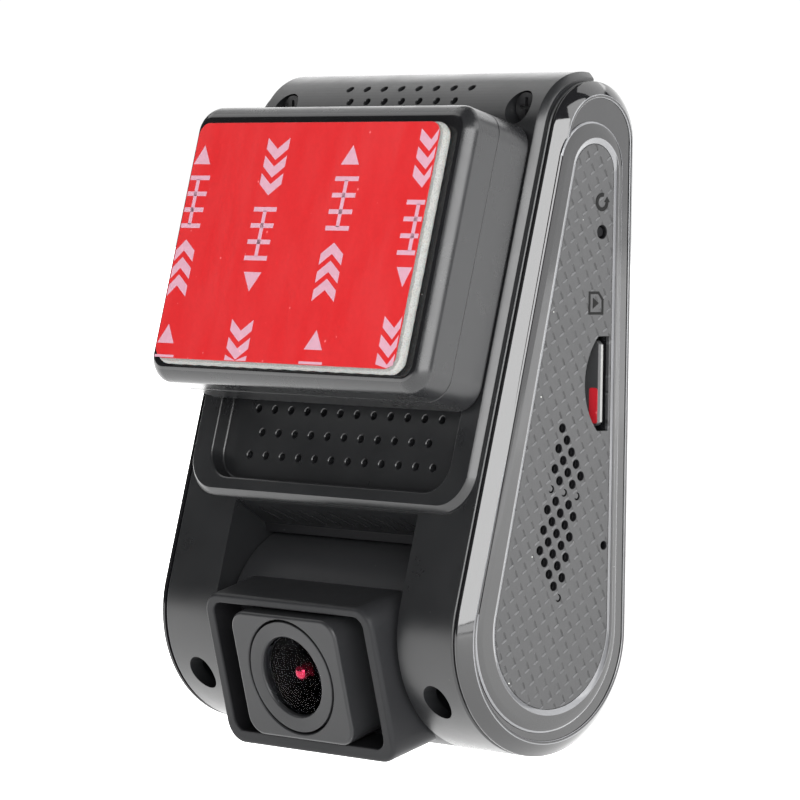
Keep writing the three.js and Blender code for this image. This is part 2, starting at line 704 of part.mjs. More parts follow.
function mountOutline(inset) {
  return roundedRect(
    -MOUNT_HALF + inset, MOUNT_HALF - inset, MOUNT_BOTTOM + inset, MOUNT_TOP - inset, 3.6 - inset / 2,
  );
}

function mountBase() {
  const tray = prism(mountOutline(0), MOUNT_BACK, MOUNT_SEAM - 0.05);
  const hollow = prism(mountOutline(MOUNT_WALL), MOUNT_BACK + 2, 20);
  const foot = prism(
    roundedRect(-RAIL_INNER + 0.4, RAIL_INNER - 0.4, 54, FOOT_TOP, 3.5), -0.72, MOUNT_BACK + 0.2,
  );
  const tongues = box(-POCKET_HALF + 0.4, POCKET_HALF - 0.4, 54, 74, -0.72, 0.0);
  const posts = MOUNT_SCREWS.map((at) => rod('z', 2.7, at, MOUNT_BACK + 1, MOUNT_SEAM - 0.05, 16));
  const holes = MOUNT_SCREWS.flatMap((at) => [
    rod('z', 2.1, at, 0, MOUNT_BACK + 1.6, 16),
    rod('z', 1.05, at, 0, 20, 12),
  ]);
  const pins = box(-5.6, 5.6, 73.6, 78.8, -2, 5);
  return join([tray.subtract(hollow), foot, tongues, ...posts]).subtract(join([...holes, pins]));
}

function mountCover() {
  const shell = prism(mountOutline(0), MOUNT_SEAM - 8, MOUNT_FRONT, { bevel: 1.4 })
    .intersect(box(-40, 40, 0, 120, MOUNT_SEAM + 0.05, 20));
  const hollow = prism(mountOutline(MOUNT_WALL), 0, MOUNT_FRONT - 1.8);
  const posts = MOUNT_SCREWS.map((at) => rod('z', 2.7, at, MOUNT_SEAM + 0.05, MOUNT_FRONT - 1, 16));
  const holes = MOUNT_SCREWS.map((at) => rod('z', 0.95, at, 0, MOUNT_FRONT - 1.6, 12));
  return join([shell.subtract(hollow), ...posts]).subtract(join(holes));
}

function mountScrew([x, y]) {
  return join([
    rod('z', 1.9, [x, y], MOUNT_BACK + 0.1, MOUNT_BACK + 1.5, 16),
    rod('z', 0.8, [x, y], MOUNT_BACK + 1.4, MOUNT_FRONT - 2.2, 12),
  ]);
}

function pinBlock() {
  const block = box(-5.3, 5.3, 73.9, 78.5, -0.3, 5.5);
  const pins = spread(4, 2.54).map((x) => rod('z', 0.5, [x, 76.2], -0.75, 0, 10));
  return join([block, ...pins]);
}

function padOutline(inset) {
  return roundedRect(
    -PAD_WIDTH / 2 + inset, PAD_WIDTH / 2 - inset,
    PAD_CENTRE - PAD_HEIGHT / 2 + inset, PAD_CENTRE + PAD_HEIGHT / 2 - inset, 1.6,
  );
}

addPart(mount, 'mount_base', mountBase(), 'shell');
addPart(mount, 'mount_cover', mountCover(), 'shell');
addPart(mount, 'adhesive_pad', prism(padOutline(0), MOUNT_FRONT + 0.05, PAD_FACE - LINER - 0.05), 'foam');
addPart(mount, 'release_liner', prism(padOutline(0), PAD_FACE - LINER, PAD_FACE), 'liner');
addPart(mount, 'position_board', box(-19.4, 19.4, 50, 72.6, MOUNT_SEAM - 0.6, MOUNT_SEAM + 0.5), 'board');
addPart(mount, 'position_antenna', prism(
  roundedRect(-9, 9, 52, 70, 1), MOUNT_SEAM + 0.65, MOUNT_FRONT - 2.1,
), 'ceramic');
addPart(mount, 'pin_block', pinBlock(), 'brass');
MOUNT_SCREWS.forEach((at, i) => addPart(mount, `mount_screw_${i + 1}`, mountScrew(at), 'steel'));

// ---------------------------------------------------------------- the whole camera, liner face at the origin

const linerCentre = new THREE.Vector3(0, PAD_CENTRE, PAD_FACE)
  .applyAxisAngle(AXIS_X, Math.PI / 2 - SLOPE)
  .add(new THREE.Vector3(0, FRONT_FOOT, 0));

const dashCamera = new THREE.Group();
[camera, lens, mount].forEach((group) => {
  group.position.sub(linerCentre);
  dashCamera.add(group);
});

export default dashCamera;
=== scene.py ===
import math

import bpy
import numpy as np
from bpy.props import FloatProperty, FloatVectorProperty, PointerProperty
from mathutils import Matrix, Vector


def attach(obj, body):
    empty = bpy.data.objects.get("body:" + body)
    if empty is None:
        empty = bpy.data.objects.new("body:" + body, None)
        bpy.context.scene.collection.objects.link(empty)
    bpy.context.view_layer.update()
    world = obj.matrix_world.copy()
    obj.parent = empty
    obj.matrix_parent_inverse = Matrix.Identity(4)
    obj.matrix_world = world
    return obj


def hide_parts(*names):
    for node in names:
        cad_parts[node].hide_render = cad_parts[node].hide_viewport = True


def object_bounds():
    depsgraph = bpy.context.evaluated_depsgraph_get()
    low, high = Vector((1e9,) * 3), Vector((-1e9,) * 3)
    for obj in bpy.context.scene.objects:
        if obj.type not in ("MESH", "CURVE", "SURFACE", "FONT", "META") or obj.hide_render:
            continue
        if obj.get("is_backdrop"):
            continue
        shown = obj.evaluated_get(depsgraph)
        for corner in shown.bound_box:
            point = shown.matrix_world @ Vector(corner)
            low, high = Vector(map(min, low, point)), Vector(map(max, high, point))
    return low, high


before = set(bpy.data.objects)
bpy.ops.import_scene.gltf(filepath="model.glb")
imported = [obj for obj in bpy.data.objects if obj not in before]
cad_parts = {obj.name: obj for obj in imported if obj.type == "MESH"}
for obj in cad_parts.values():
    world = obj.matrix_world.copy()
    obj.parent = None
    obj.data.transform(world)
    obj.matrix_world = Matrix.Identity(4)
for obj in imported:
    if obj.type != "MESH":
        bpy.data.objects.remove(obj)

bl_info = {
    "name": "Dash Camera",
    "version": (1, 0, 0),
    "blender": (4, 5, 0),
    "location": "3D View > Sidebar > Dash Camera",
    "description": "Builds the skins and finishes of a dash camera on an adhesive windscreen mount",
    "category": "Add Mesh",
}

MM = 0.001

# ------------------------------------------------------------------ dimensions, millimetres

LOW_RADIUS = 15.73
HIGH_RADIUS = 7.72
CASING_HEIGHT = 87.1
SLOPE = math.radians(14.35)
SHELL_HALF = 27.5
SIDE_WALL = 1.6
WALL = 2.0
GAP = 0.2
PARTING = -6.6
COVER_INNER = 27.75
COVER_OUTER = 29.75
INLAY_BACK = 28.95
INLAY_FACE = 29.5

RAISED = 1.26
RAISED_CHAMFER = 0.76
RAISED_HALF = 27.03
RAISED_BOTTOM = 32.4
RAISED_CORNER = 5.5
POCKET_HALF = 22.8
POCKET_BOTTOM = 34.9
POCKET_TOP = 80.5
POCKET_FLOOR = -0.97
RAIL_INNER = 20.9
RAIL_START = 64.0
RAIL_UNDERSIDE = 0.25
VENT_RADIUS = 0.52
VENT_ROWS = ((44.8, 12), (41.6, 11), (38.45, 12))
VENT_PITCH = 3.19
TOP_VENT_ROWS = ((50, 8), (35, 7))
TOP_VENT_PITCH = 3.31
LOUVRE_COUNT = 11
LOUVRE_PITCH = 2.75
# Limits of the strip of shell between the window ceiling and the lens drum that is painted black as shade.
SHADE_STRIP_Y = (-22.7, -22.1)
SHADE_STRIP_Z = (26.4, 28.1)

LENS_Y = -15.75
LENS_Z = 13.8
LENS_TILT = math.radians(15.1)
DRUM_RADIUS = 13.75
DRUM_HALF = 17.2
DRUM_WALL = 1.8
WINDOW_HALF = 17.48
CHEEK = 1.5
TRUNNION_RADIUS = 2.8
HOOD_HALF = 16.0
HOOD_TOP = 9.9
HOOD_BOTTOM = -10.6
HOOD_FLOOR = 12.6
MOUTH_HALF = 14.3
MOUTH_LIMITS = (-9.04, 8.9)
HOOD_FRONT = 17.5
PLATE_FRONT = 18.64
PLATE_BORE = 7.9
RING_BORE = 5.45
RING_RADIUS = 7.6
GLASS_RADIUS = 5.38
WASHER_RADIUS = 5.8

MOUNT_BOTTOM = 45.4
MOUNT_TOP = 83.4
MOUNT_HALF = 26.4
MOUNT_BACK = 1.6
MOUNT_SEAM = 7.35
SEAM_GAP = 0.004
MOUNT_FRONT = 12.9
MOUNT_WALL = 2.0
PAD_CENTRE = 64.14
PAD_WIDTH = 46.08
PAD_HEIGHT = 32.53
PAD_FACE = 14.5
PAD_SHIFT = (0.42, -0.2)
LINER = 0.12
MARK_PITCH = 24.6

CARD_Y = -6.6
CARD_Z = 48.0
CARD_HALF = 5.5
CARD_INNER = 14.0
CARD_OUTER = 29.0
CARD_THICKNESS = 0.8
SLOT_HALF = 6.15
SCOOP_RADIUS = 9.0
BUTTON_Z = 33.0
BUTTON_PITCH = 9.0
BUTTON_COUNT = 5
SCREEN_HALF = 23.6
SCREEN_LOW = 41.0
SCREEN_HIGH = 77.4
LIGHT_Z = 38.4
LIGHT_PLACES = (-9, 0, 9)
RESET = (-7.21, 67.63)
MICROPHONE = (-5.97, 26.96)
SOCKET = (-11.5, 62.0)
SPEAKER_START = (-14.03, 42.39)
SPEAKER_ROW = (0.88, -1.57)
SPEAKER_COLUMN = (-0.64, -2.6)
BLOCKED_HOLES = ((1, 4), (2, 2), (3, 0), (6, 4))
RESET_MARK = (-7.3, 71.5)
CARD_MARK = (-8.13, 58.44)
PRINT_LEVELS = ((0, INLAY_FACE - 0.01), (0, INLAY_FACE + 0.03))
WEAVE_LIGHT = (1.55, 0.95)
WEAVE_DARK = (-0.9, 1.65)
CASE_SCREWS = ((-22.54, 7.4, -19.5), (22.54, 7.4, -19.5), (-22.24, 83.6, -12.4), (22.24, 83.6, -12.4))

FRONT_FOOT = -LOW_RADIUS * (1 + math.cos(SLOPE) + math.sin(SLOPE)) / math.cos(SLOPE)
UP_SLOPE = np.array([0, math.sin(SLOPE), math.cos(SLOPE)])
OFF_SLOPE = np.array([0, -math.cos(SLOPE), math.sin(SLOPE)])
LINER_CENTRE = np.array([0, FRONT_FOOT, 0]) + PAD_CENTRE * UP_SLOPE + PAD_FACE * OFF_SLOPE


# ------------------------------------------------------------------ frames

class Frame:
    """A place to draw in: an origin in casing millimetres and the three directions of its local axes."""

    def __init__(self, origin, across, up, out):
        self.origin = np.array(origin, float) - LINER_CENTRE
        self.axes = np.array([across, up, out], float)

    def place(self, points):
        """Local millimetres to metres in the row frame: origin plus each coordinate times its axis."""
        return (np.asarray(points, float) @ self.axes + self.origin) * MM


LENS_ANGLE = math.pi / 2 + LENS_TILT
LENS_UP = (0, math.cos(LENS_ANGLE), math.sin(LENS_ANGLE))
LENS_OUT = (0, -math.sin(LENS_ANGLE), math.cos(LENS_ANGLE))
CASING = Frame((0, 0, 0), (1, 0, 0), (0, 1, 0), (0, 0, 1))
PROFILE = Frame((0, 0, 0), (0, 1, 0), (0, 0, 1), (1, 0, 0))
REAR_FACE = Frame((0, 0, 0), (1, 0, 0), (0, 0, 1), (0, -1, 0))
FRONT = Frame((0, FRONT_FOOT, 0), (1, 0, 0), UP_SLOPE, OFF_SLOPE)
LENS = Frame((0, LENS_Y, LENS_Z), (1, 0, 0), LENS_UP, LENS_OUT)
HINGE = Frame((0, LENS_Y, LENS_Z), LENS_UP, LENS_OUT, (1, 0, 0))


# ------------------------------------------------------------------ outlines, as functions of an inset

def arc(centre, radius, start, end, count):
    """Points on a circle: the centre plus the radius times cosine and sine of an evenly spaced angle."""
    angle = np.linspace(start, end, count)
    return np.stack([centre[0] + radius * np.cos(angle), centre[1] + radius * np.sin(angle)], 1)


def drop(rear, low, high, counts=(96, 48)):
    """Two circles that both touch the line Y = rear, wrapped by their common front tangent."""
    (low_radius, low_z), (high_radius, high_z) = low, high
    rise, back = high_z - low_z, low_radius - high_radius
    lean = math.atan2(rise, back) + math.acos(back / math.hypot(rise, back))
    return np.concatenate([
        arc((rear - low_radius, low_z), low_radius, lean, 2 * math.pi, counts[0]),
        arc((rear - high_radius, high_z), high_radius, 0, lean, counts[1]),
    ])


def casing_outline(inset=0.0):
    return drop(
        -inset, (LOW_RADIUS - inset, LOW_RADIUS), (HIGH_RADIUS - inset, CASING_HEIGHT - HIGH_RADIUS)
    )


def rim_outline(inset=0.0):
    return drop(-3.45 - inset, (13.0 - inset, 16.2), (5.9 - inset, 76.0))


def inlay_outline(inset=0.0):
    return drop(-5.1 - inset, (10.3 - inset, 16.5), (3.6 - inset, 75.4))


def rounded(x0, x1, y0, y1, radius, count=9):
    """An outline function: a rectangle with round corners, whose sides and radius shrink by the inset."""
    def outline(inset=0.0):
        r = max(radius - inset, 0.02)
        quarter = math.pi / 2
        a, b, c, d = x0 + inset + r, x1 - inset - r, y0 + inset + r, y1 - inset - r
        return np.concatenate([
            arc((b, c), r, -quarter, 0, count),
            arc((b, d), r, 0, quarter, count),
            arc((a, d), r, quarter, 2 * quarter, count),
            arc((a, c), r, 2 * quarter, 3 * quarter, count),
        ])
    return outline


def circle(centre, radius, count=24):
    def outline(inset=0.0):
        return arc(centre, radius - inset, 0, 2 * math.pi, count + 1)[:-1]
    return outline


def flat_outline(points):
    points = np.array(points, float)

    def outline(inset=0.0):
        return points
    return outline


# ------------------------------------------------------------------ skins

def wall(start, end, low=0.0, high=0.0, steps=4, power=2.0):
    """(inset, level) pairs of a wall whose two edges are rounded: each edge is a quarter of the curve
    |inset|^power + |rise|^power = radius^power, a circle at power 2 and nearly a chamfer at 1.3."""
    angle = np.linspace(0, math.pi / 2, steps + 1)
    near, far = np.cos(angle) ** (2 / power), np.sin(angle) ** (2 / power)
    pairs = [[0.0, start]] if low == 0 else np.stack([low * (1 - far), start + abs(low) * (1 - near)], 1)
    ends = [[0.0, end]] if high == 0 else np.stack([high * (1 - near), end - abs(high) * (1 - far)], 1)
    return np.concatenate([np.array(pairs), np.array(ends)])


def skin(name, rings, place):
    """A closed solid through a stack of rings of equal count: side quads between neighbouring rings, and
    one flat cap at each end. Rings run anticlockwise and rise along the local third axis."""
    rings = np.asarray(rings, float)
    levels, count = rings.shape[:2]
    ring = np.arange(levels - 1)[:, None] * count
    step = np.arange(count)[None, :]
    after = (step + 1) % count
    quads = np.stack([ring + step, ring + after, ring + count + after, ring + count + step], -1)
    faces = quads.reshape(-1, 4).tolist()
    faces.append(list(range(count))[::-1])
    faces.append(list(range((levels - 1) * count, levels * count)))
    mesh = bpy.data.meshes.new(name)
    mesh.from_pydata(place.place(rings.reshape(-1, 3)).tolist(), [], faces)
    return linked(name, mesh)


def linked(name, mesh):
    piece = bpy.data.objects.new(name, mesh)
    bpy.context.scene.collection.objects.link(piece)
    return piece


def prism(name, outline, pairs, place):
    """The outline carried through (inset, level) pairs: ring k is outline(inset k) lifted to level k."""
    rings = [np.column_stack([flat, np.full(len(flat), level)])
             for flat, level in ((outline(inset), level) for inset, level in pairs)]
    return skin(name, rings, place)


def block(name, x0, x1, y0, y1, z0, z1, place=CASING, edge=0.0):
    corners = rounded(x0, x1, y0, y1, max(edge, 0.001), 3 if edge else 1)
    return prism(name, corners, wall(z0, z1, edge, edge, 2), place)


def rod(name, centre, radius, start, end, place, edge=0.0, count=32):
    return prism(name, circle(centre, radius, count), wall(start, end, edge, edge, 3), place)


def turned(name, outline, place, count=72, loop=True):
    """An outline of (radius, level) pairs swept once round the local third axis; a radius of nought is
    closed by one flat cap of a hair's width."""
    pairs = np.array(outline, float)
    pairs[:, 0] = np.maximum(pairs[:, 0], 0.003)
    angle = np.arange(count) / count * 2 * math.pi
    ring = np.stack([
        pairs[:, None, 0] * np.cos(angle), pairs[:, None, 0] * np.sin(angle),
        np.repeat(pairs[:, 1:2], count, 1),
    ], -1)
    if not loop:
        return skin(name, ring, place)
    levels = len(pairs)
    row = np.arange(levels)[:, None] * count
    row_after = (np.arange(levels)[:, None] + 1) % levels * count
    step = np.arange(count)[None, :]
    after = (step + 1) % count
    faces = np.stack([row + step, row + after, row_after + after, row_after + step], -1)
    mesh = bpy.data.meshes.new(name)
    mesh.from_pydata(place.place(ring.reshape(-1, 3)).tolist(), [], faces.reshape(-1, 4).tolist())
    return linked(name, mesh)


def joined(name, pieces):
    """Several solids as the shells of one mesh."""
    points, faces, base = [], [], 0
    for piece in pieces:
        mesh = piece.data
        flat = np.empty(len(mesh.vertices) * 3)
        mesh.vertices.foreach_get("co", flat)
        points.append(flat.reshape(-1, 3))
        faces.extend([base + i for i in face.vertices] for face in mesh.polygons)
        base += len(mesh.vertices)
        bpy.data.objects.remove(piece)
    mesh = bpy.data.meshes.new(name)
    mesh.from_pydata(np.concatenate(points).tolist(), [], faces)
    return linked(name, mesh)


def shaped(piece, *steps):
    """Cuts, adds or intersects whole solids in order; each step is (operation, solid)."""
    for operation, tool in steps:
        change = piece.modifiers.new(operation, "BOOLEAN")
        change.operation = {"cut": "DIFFERENCE", "add": "UNION", "keep": "INTERSECT"}[operation]
        change.solver = "MANIFOLD"
        change.object = tool
        mesh = settled(piece)
        if len(mesh.polygons) == 0:
            raise RuntimeError(f"{piece.name}: nothing left after {operation} {tool.name}")
        piece.modifiers.clear()
        piece.data = mesh
        bpy.data.objects.remove(tool)
    return piece


def settled(piece):
    """The mesh with its modifiers worked in."""
    bpy.context.view_layer.update()
    evaluated = piece.evaluated_get(bpy.context.evaluated_depsgraph_get())
    mesh = bpy.data.meshes.new_from_object(evaluated)
    mesh.name = piece.name
    return mesh


def smoothed(piece, angle=32.0, bevel=0.0):
    """Smooth faces with sharp edges kept where the skin turns by more than the angle, and normals
    weighted by area so that flat faces stay flat beside their rounded edges."""
    mesh = piece.data
    if bevel:
        rounding = piece.modifiers.new("Rounded edges", "BEVEL")
        rounding.width = bevel * MM
        rounding.segments = 2
        rounding.limit_method = "ANGLE"
        rounding.angle_limit = math.radians(angle)
        rounding.use_clamp_overlap = True
        mesh = settled(piece)
        piece.modifiers.clear()
        piece.data = mesh
    mesh.polygons.foreach_set("use_smooth", np.ones(len(mesh.polygons), bool))
    mesh.set_sharp_from_angle(angle=math.radians(angle))
    normals = piece.modifiers.new("Weighted normals", "WEIGHTED_NORMAL")
    normals.keep_sharp = True
    normals.weight = 80
    return piece


def fitted(piece, finish, body, stands_for=(), angle=32.0, bevel=0.0):
    """The last steps of each new piece: smooth it, finish it, and hang it on its body."""
    smoothed(piece, angle, bevel)
    piece.data.materials.clear()
    piece.data.materials.append(finish)
    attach(piece, body)
    if stands_for:
        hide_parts(*stands_for)
    return piece


def beside(side, near, far):
    """The lower and the upper X of a span that lies from near to far on one side."""
    return sorted((side * near, side * far))


def between(values, low, high):
    return (values > low) & (values < high)


def face_middles(piece, place):
    """The middle of each face in a frame's own millimetres."""
    centres = np.empty(len(piece.data.polygons) * 3)
    piece.data.polygons.foreach_get("center", centres)
    return (centres.reshape(-1, 3) / MM - place.origin) @ place.axes.T


def painted(piece, name, chosen):
    """Gives the chosen faces the named finish, as one more material of the piece."""
    mesh = piece.data
    indices = np.empty(len(mesh.polygons), np.int32)
    mesh.polygons.foreach_get("material_index", indices)
    indices[chosen] = len(mesh.materials)
    mesh.materials.append(finish(name))
    mesh.polygons.foreach_set("material_index", indices)
    mesh.update()


def mirrored(piece, name):
    """A copy with X turned round, and its faces turned back to point outwards."""
    mesh = piece.data.copy()
    mesh.name = name
    flat = np.empty(len(mesh.vertices) * 3)
    mesh.vertices.foreach_get("co", flat)
    flat[0::3] *= -1
    mesh.vertices.foreach_set("co", flat)
    mesh.flip_normals()
    return linked(name, mesh)


# ------------------------------------------------------------------ finishes

class Finish:
    """A node material built up one node at a time. Patterns read Object coordinates in millimetres."""

    def __init__(self, name, **constants):
        self.material = bpy.data.materials.new(name)
        self.material.use_nodes = True
        self.nodes = self.material.node_tree.nodes
        self.links = self.material.node_tree.links
        self.nodes.clear()
        self.shader = self.nodes.new("ShaderNodeBsdfPrincipled")
        output = self.nodes.new("ShaderNodeOutputMaterial")
        self.links.new(self.shader.outputs[0], output.inputs[0])
        for socket, value in constants.items():
            self.shader.inputs[socket.replace("_", " ")].default_value = value
        place = self.nodes.new("ShaderNodeTexCoord")
        scale = self.nodes.new("ShaderNodeVectorMath")
        scale.operation = "SCALE"
        scale.inputs["Scale"].default_value = 1 / MM
        self.links.new(place.outputs["Object"], scale.inputs[0])
        self.place = scale.outputs[0]

    def set(self, socket, source):
        if hasattr(source, "links"):
            self.links.new(source, socket)
        else:
            socket.default_value = source

    def add(self, kind, *values, **settings):
        made = self.nodes.new(kind)
        for name, value in settings.items():
            setattr(made, name, value)
        for index, value in enumerate(values):
            if value is not None:
                self.set(made.inputs[index], value)
        return made

    def math(self, operation, *values, clamp=False):
        return self.add("ShaderNodeMath", *values, operation=operation, use_clamp=clamp).outputs[0]

    def noise(self, pitch, detail=3.0, rough=0.5, stretch=None):
        """Soft random values about `pitch` millimetres apart, pulled out along an axis by `stretch`."""
        place = self.place
        if stretch:
            place = self.add("ShaderNodeVectorMath", place, stretch, operation="MULTIPLY").outputs[0]
        made = self.add("ShaderNodeTexNoise", noise_dimensions="3D")
        self.set(made.inputs["Vector"], place)
        made.inputs["Scale"].default_value = 1 / pitch
        made.inputs["Detail"].default_value = detail
        made.inputs["Roughness"].default_value = rough
        return made.outputs[0]

    def specks(self, pitch):
        """Distance to the nearest of scattered points, for dust and grains."""
        made = self.add("ShaderNodeTexVoronoi", voronoi_dimensions="3D", feature="F1")
        self.set(made.inputs["Vector"], self.place)
        made.inputs["Scale"].default_value = 1 / pitch
        return made.outputs["Distance"]

    def fit(self, value, low, high, to_low, to_high, smooth=False):
        made = self.add("ShaderNodeMapRange", value, low, high, to_low, to_high)
        if smooth:
            made.interpolation_type = "SMOOTHSTEP"
        return made.outputs[0]

    def mix(self, factor, first, second):
        made = self.add("ShaderNodeMix", data_type="RGBA")
        self.set(made.inputs[0], factor)
        self.set(made.inputs[6], first)
        self.set(made.inputs[7], second)
        return made.outputs[2]

    def axes(self):
        return self.add("ShaderNodeSeparateXYZ", self.place).outputs

    def colour(self, source):
        self.set(self.shader.inputs["Base Color"], source)

    def rough(self, source):
        self.set(self.shader.inputs["Roughness"], source)

    def bump(self, *layers):
        """Heights in millimetres, one on another: each layer is (height, depth)."""
        normal = None
        for height, depth in layers:
            made = self.nodes.new("ShaderNodeBump")
            made.inputs["Strength"].default_value = 1.0
            made.inputs["Distance"].default_value = depth * MM
            self.set(made.inputs["Height"], height)
            if normal is not None:
                self.set(made.inputs["Normal"], normal)
            normal = made.outputs[0]
        self.set(self.shader.inputs["Normal"], normal)


def shade(colour, amount):
    """The colour made lighter or darker by a factor, with full alpha."""
    return tuple(min(1.0, c * amount) for c in colour[:3]) + (1.0,)


def moulded(name, colour, rough, grain=0.16, depth=0.006, spread=0.08, specular=0.5, coat=0.0):
    """Spark-eroded moulding: fine grain, slow waves in gloss, faint handling marks and stray dust."""
    made = Finish(name, Coat_Weight=coat, Coat_Roughness=0.12)
    made.shader.inputs["Specular IOR Level"].default_value = specular
    grains = made.noise(grain, 4.0, 0.62)
    waves = made.noise(9.0, 4.0, 0.6)
    rubs = made.noise(1.1, 5.0, 0.7, (1.0, 1.0, 0.28))
    dust = made.fit(made.specks(3.6), 0.016, 0.03, 1.0, 0.0, True)
    body = made.mix(made.fit(waves, 0.3, 0.7, 0.0, 1.0), shade(colour, 0.92), shade(colour, 1.08))
    body = made.mix(made.fit(grains, 0.35, 0.65, 0.0, 0.35), body, shade(colour, 1.35))
    made.colour(made.mix(made.math("MULTIPLY", dust, 0.16), body, (0.2, 0.2, 0.19, 1)))
    sheen = made.fit(waves, 0.3, 0.7, -spread / 2, spread / 2)
    change = made.math("ADD", sheen, made.fit(rubs, 0.4, 0.8, -0.01, 0.025))
    made.rough(made.math("ADD", change, rough, clamp=True))
    made.bump((waves, 0.004), (grains, depth))
    return made.material


def polished(name, colour, rough, wave=0.012, scratch=0.0015, specular=0.5):
    """Glossy moulding: slight flow waves, hairline scratches and a little dust that dulls it."""
    made = Finish(name)
    made.shader.inputs["Specular IOR Level"].default_value = specular
    flow = made.noise(9.0, 2.0, 0.4)
    hair = made.noise(0.5, 6.0, 0.75, (1.0, 6.0, 0.4))
    dust = made.fit(made.specks(3.1), 0.015, 0.03, 1.0, 0.0, True)
    smear = made.fit(made.noise(5.0, 5.0, 0.65), 0.45, 0.75, 0.0, 0.07)
    body = made.mix(made.fit(flow, 0.3, 0.7, 0.0, 1.0), shade(colour, 0.85), shade(colour, 1.15))
    made.colour(made.mix(made.math("MULTIPLY", dust, 0.4), body, (0.35, 0.35, 0.34, 1)))
    dulled = made.math("MULTIPLY", dust, 0.4)
    made.rough(made.math("ADD", made.math("ADD", smear, rough), dulled, clamp=True))
    made.bump((flow, wave), (hair, scratch))
    return made.material


def woven(name, colour, rough):
    """Embossed basket weave on a turned lattice: in every cell one short dash that stands proud along the
    first thread, painted lighter as a highlight, and one groove along the second, painted darker as shade,
    over fine crossing fibres."""
    made = Finish(name)
    made.shader.inputs["Specular IOR Level"].default_value = 0.28
    axes = made.axes()
    y = made.math("ADD", axes["Y"], LINER_CENTRE[1] - SPEAKER_START[0])
    z = made.math("ADD", axes["Z"], LINER_CENTRE[2] - SPEAKER_START[1])
    inverse = np.linalg.inv(np.stack([np.array(WEAVE_LIGHT), np.array(WEAVE_DARK)], 1))

    def lattice(row, shift):
        across, up = made.math("MULTIPLY", y, inverse[row][0]), made.math("MULTIPLY", z, inverse[row][1])
        along = made.math("ADD", made.math("ADD", across, up), shift)
        return made.math("SUBTRACT", made.math("FRACT", along), 0.5)

    def dash(shift_u, shift_v, long_u, long_v):
        u = made.math("DIVIDE", lattice(0, shift_u), long_u)
        v = made.math("DIVIDE", lattice(1, shift_v), long_v)
        reach = made.math("ADD", made.math("POWER", made.math("ABSOLUTE", u), 2.6),
                          made.math("POWER", made.math("ABSOLUTE", v), 2.6))
        return made.fit(reach, 0.35, 1.15, 1.0, 0.0, True)

    patchy = made.fit(made.noise(2.6, 3.0), 0.3, 0.7, 0.45, 1.0)
    # Masks of the painted highlight on each proud dash and the painted shade in each groove.
    light = made.math("MULTIPLY", dash(0.5, 0.93, 0.3, 0.085), patchy)
    dark = made.math("MULTIPLY", dash(0.24, 0.6, 0.085, 0.3), patchy)
    fibre_a = made.noise(0.16, 2.0, 0.5, (1.0, 0.25, 1.0))
    fibre_b = made.noise(0.16, 2.0, 0.5, (1.0, 1.0, 0.25))
    waves = made.noise(8.0, 3.0)
    dust = made.fit(made.specks(2.9), 0.02, 0.04, 1.0, 0.0, True)
    fibres = made.math("ADD", fibre_a, fibre_b)
    body = made.mix(made.fit(fibres, 0.7, 1.3, 0.0, 1.0), shade(colour, 0.86), shade(colour, 1.14))
    body = made.mix(made.fit(waves, 0.3, 0.7, 0.0, 0.3), body, shade(colour, 1.2))
    # Painted shade in each groove, then a painted highlight on each proud dash.
    body = made.mix(made.math("MULTIPLY", dark, 0.85), body, shade(colour, 0.25))
    body = made.mix(made.math("MULTIPLY", light, 0.8), body, shade(colour, 2.6))
    made.colour(made.mix(made.math("MULTIPLY", dust, 0.6), body, (0.75, 0.75, 0.72, 1)))
    made.rough(made.math("ADD", made.fit(fibre_a, 0.3, 0.7, -0.05, 0.07), rough, clamp=True))
    made.bump((fibres, 0.008), (made.math("SUBTRACT", light, dark), 0.09))
    return made.material


def film(name, colour):
    """Release film: even colour, soft gloss, faint pressed ripples and a few trapped specks."""
    made = Finish(name)
    ripples = made.noise(3.0, 3.0, 0.5, (1.0, 0.5, 0.25))
    mottle = made.noise(0.6, 4.0, 0.6)
    specks = made.fit(made.specks(3.4), 0.03, 0.06, 1.0, 0.0, True)
    body = made.mix(made.fit(mottle, 0.3, 0.7, 0.0, 1.0), shade(colour, 0.95), shade(colour, 1.05))
    made.colour(made.mix(made.math("MULTIPLY", specks, 0.25), body, (0.85, 0.3, 0.32, 1)))
    made.rough(made.fit(ripples, 0.3, 0.7, 0.3, 0.42))
    made.bump((ripples, 0.02), (mottle, 0.002))
    return made.material


def foam(name, colour):
    """Closed-cell foam tape: pits of mixed size with painted shade in them, lighter webs between them."""
    made = Finish(name)
    made.shader.inputs["Subsurface Weight"].default_value = 0.15
    made.shader.inputs["Subsurface Scale"].default_value = 0.4 * MM
    cells = made.specks(0.22)
    grains = made.noise(0.13, 5.0, 0.7)
    # Painted shade: darker towards the middle of each pit.
    body = made.mix(made.fit(cells, 0.1, 0.6, 0.0, 1.0), shade(colour, 0.72), shade(colour, 1.1))
    made.colour(made.mix(made.fit(grains, 0.45, 0.7, 0.0, 0.5), body, shade(colour, 0.6)))
    made.rough(made.fit(grains, 0.3, 0.7, 0.8, 0.95))
    made.bump((cells, 0.06), (grains, 0.05))
    return made.material


def metal(name, colour, rough, brushed=(1.0, 1.0, 1.0)):
    """Rolled or plated metal: fine lines along the way it was worked, and dull patches."""
    made = Finish(name, Metallic=1.0)
    lines = made.noise(0.3, 5.0, 0.7, brushed)
    patches = made.noise(3.0, 4.0, 0.6)
    made.colour(made.mix(made.fit(patches, 0.3, 0.7, 0.0, 1.0), shade(colour, 0.85), shade(colour, 1.08)))
    made.rough(made.math("ADD", made.fit(lines, 0.3, 0.7, -0.05, 0.1), rough, clamp=True))
    made.bump((lines, 0.004), (patches, 0.006))
    return made.material


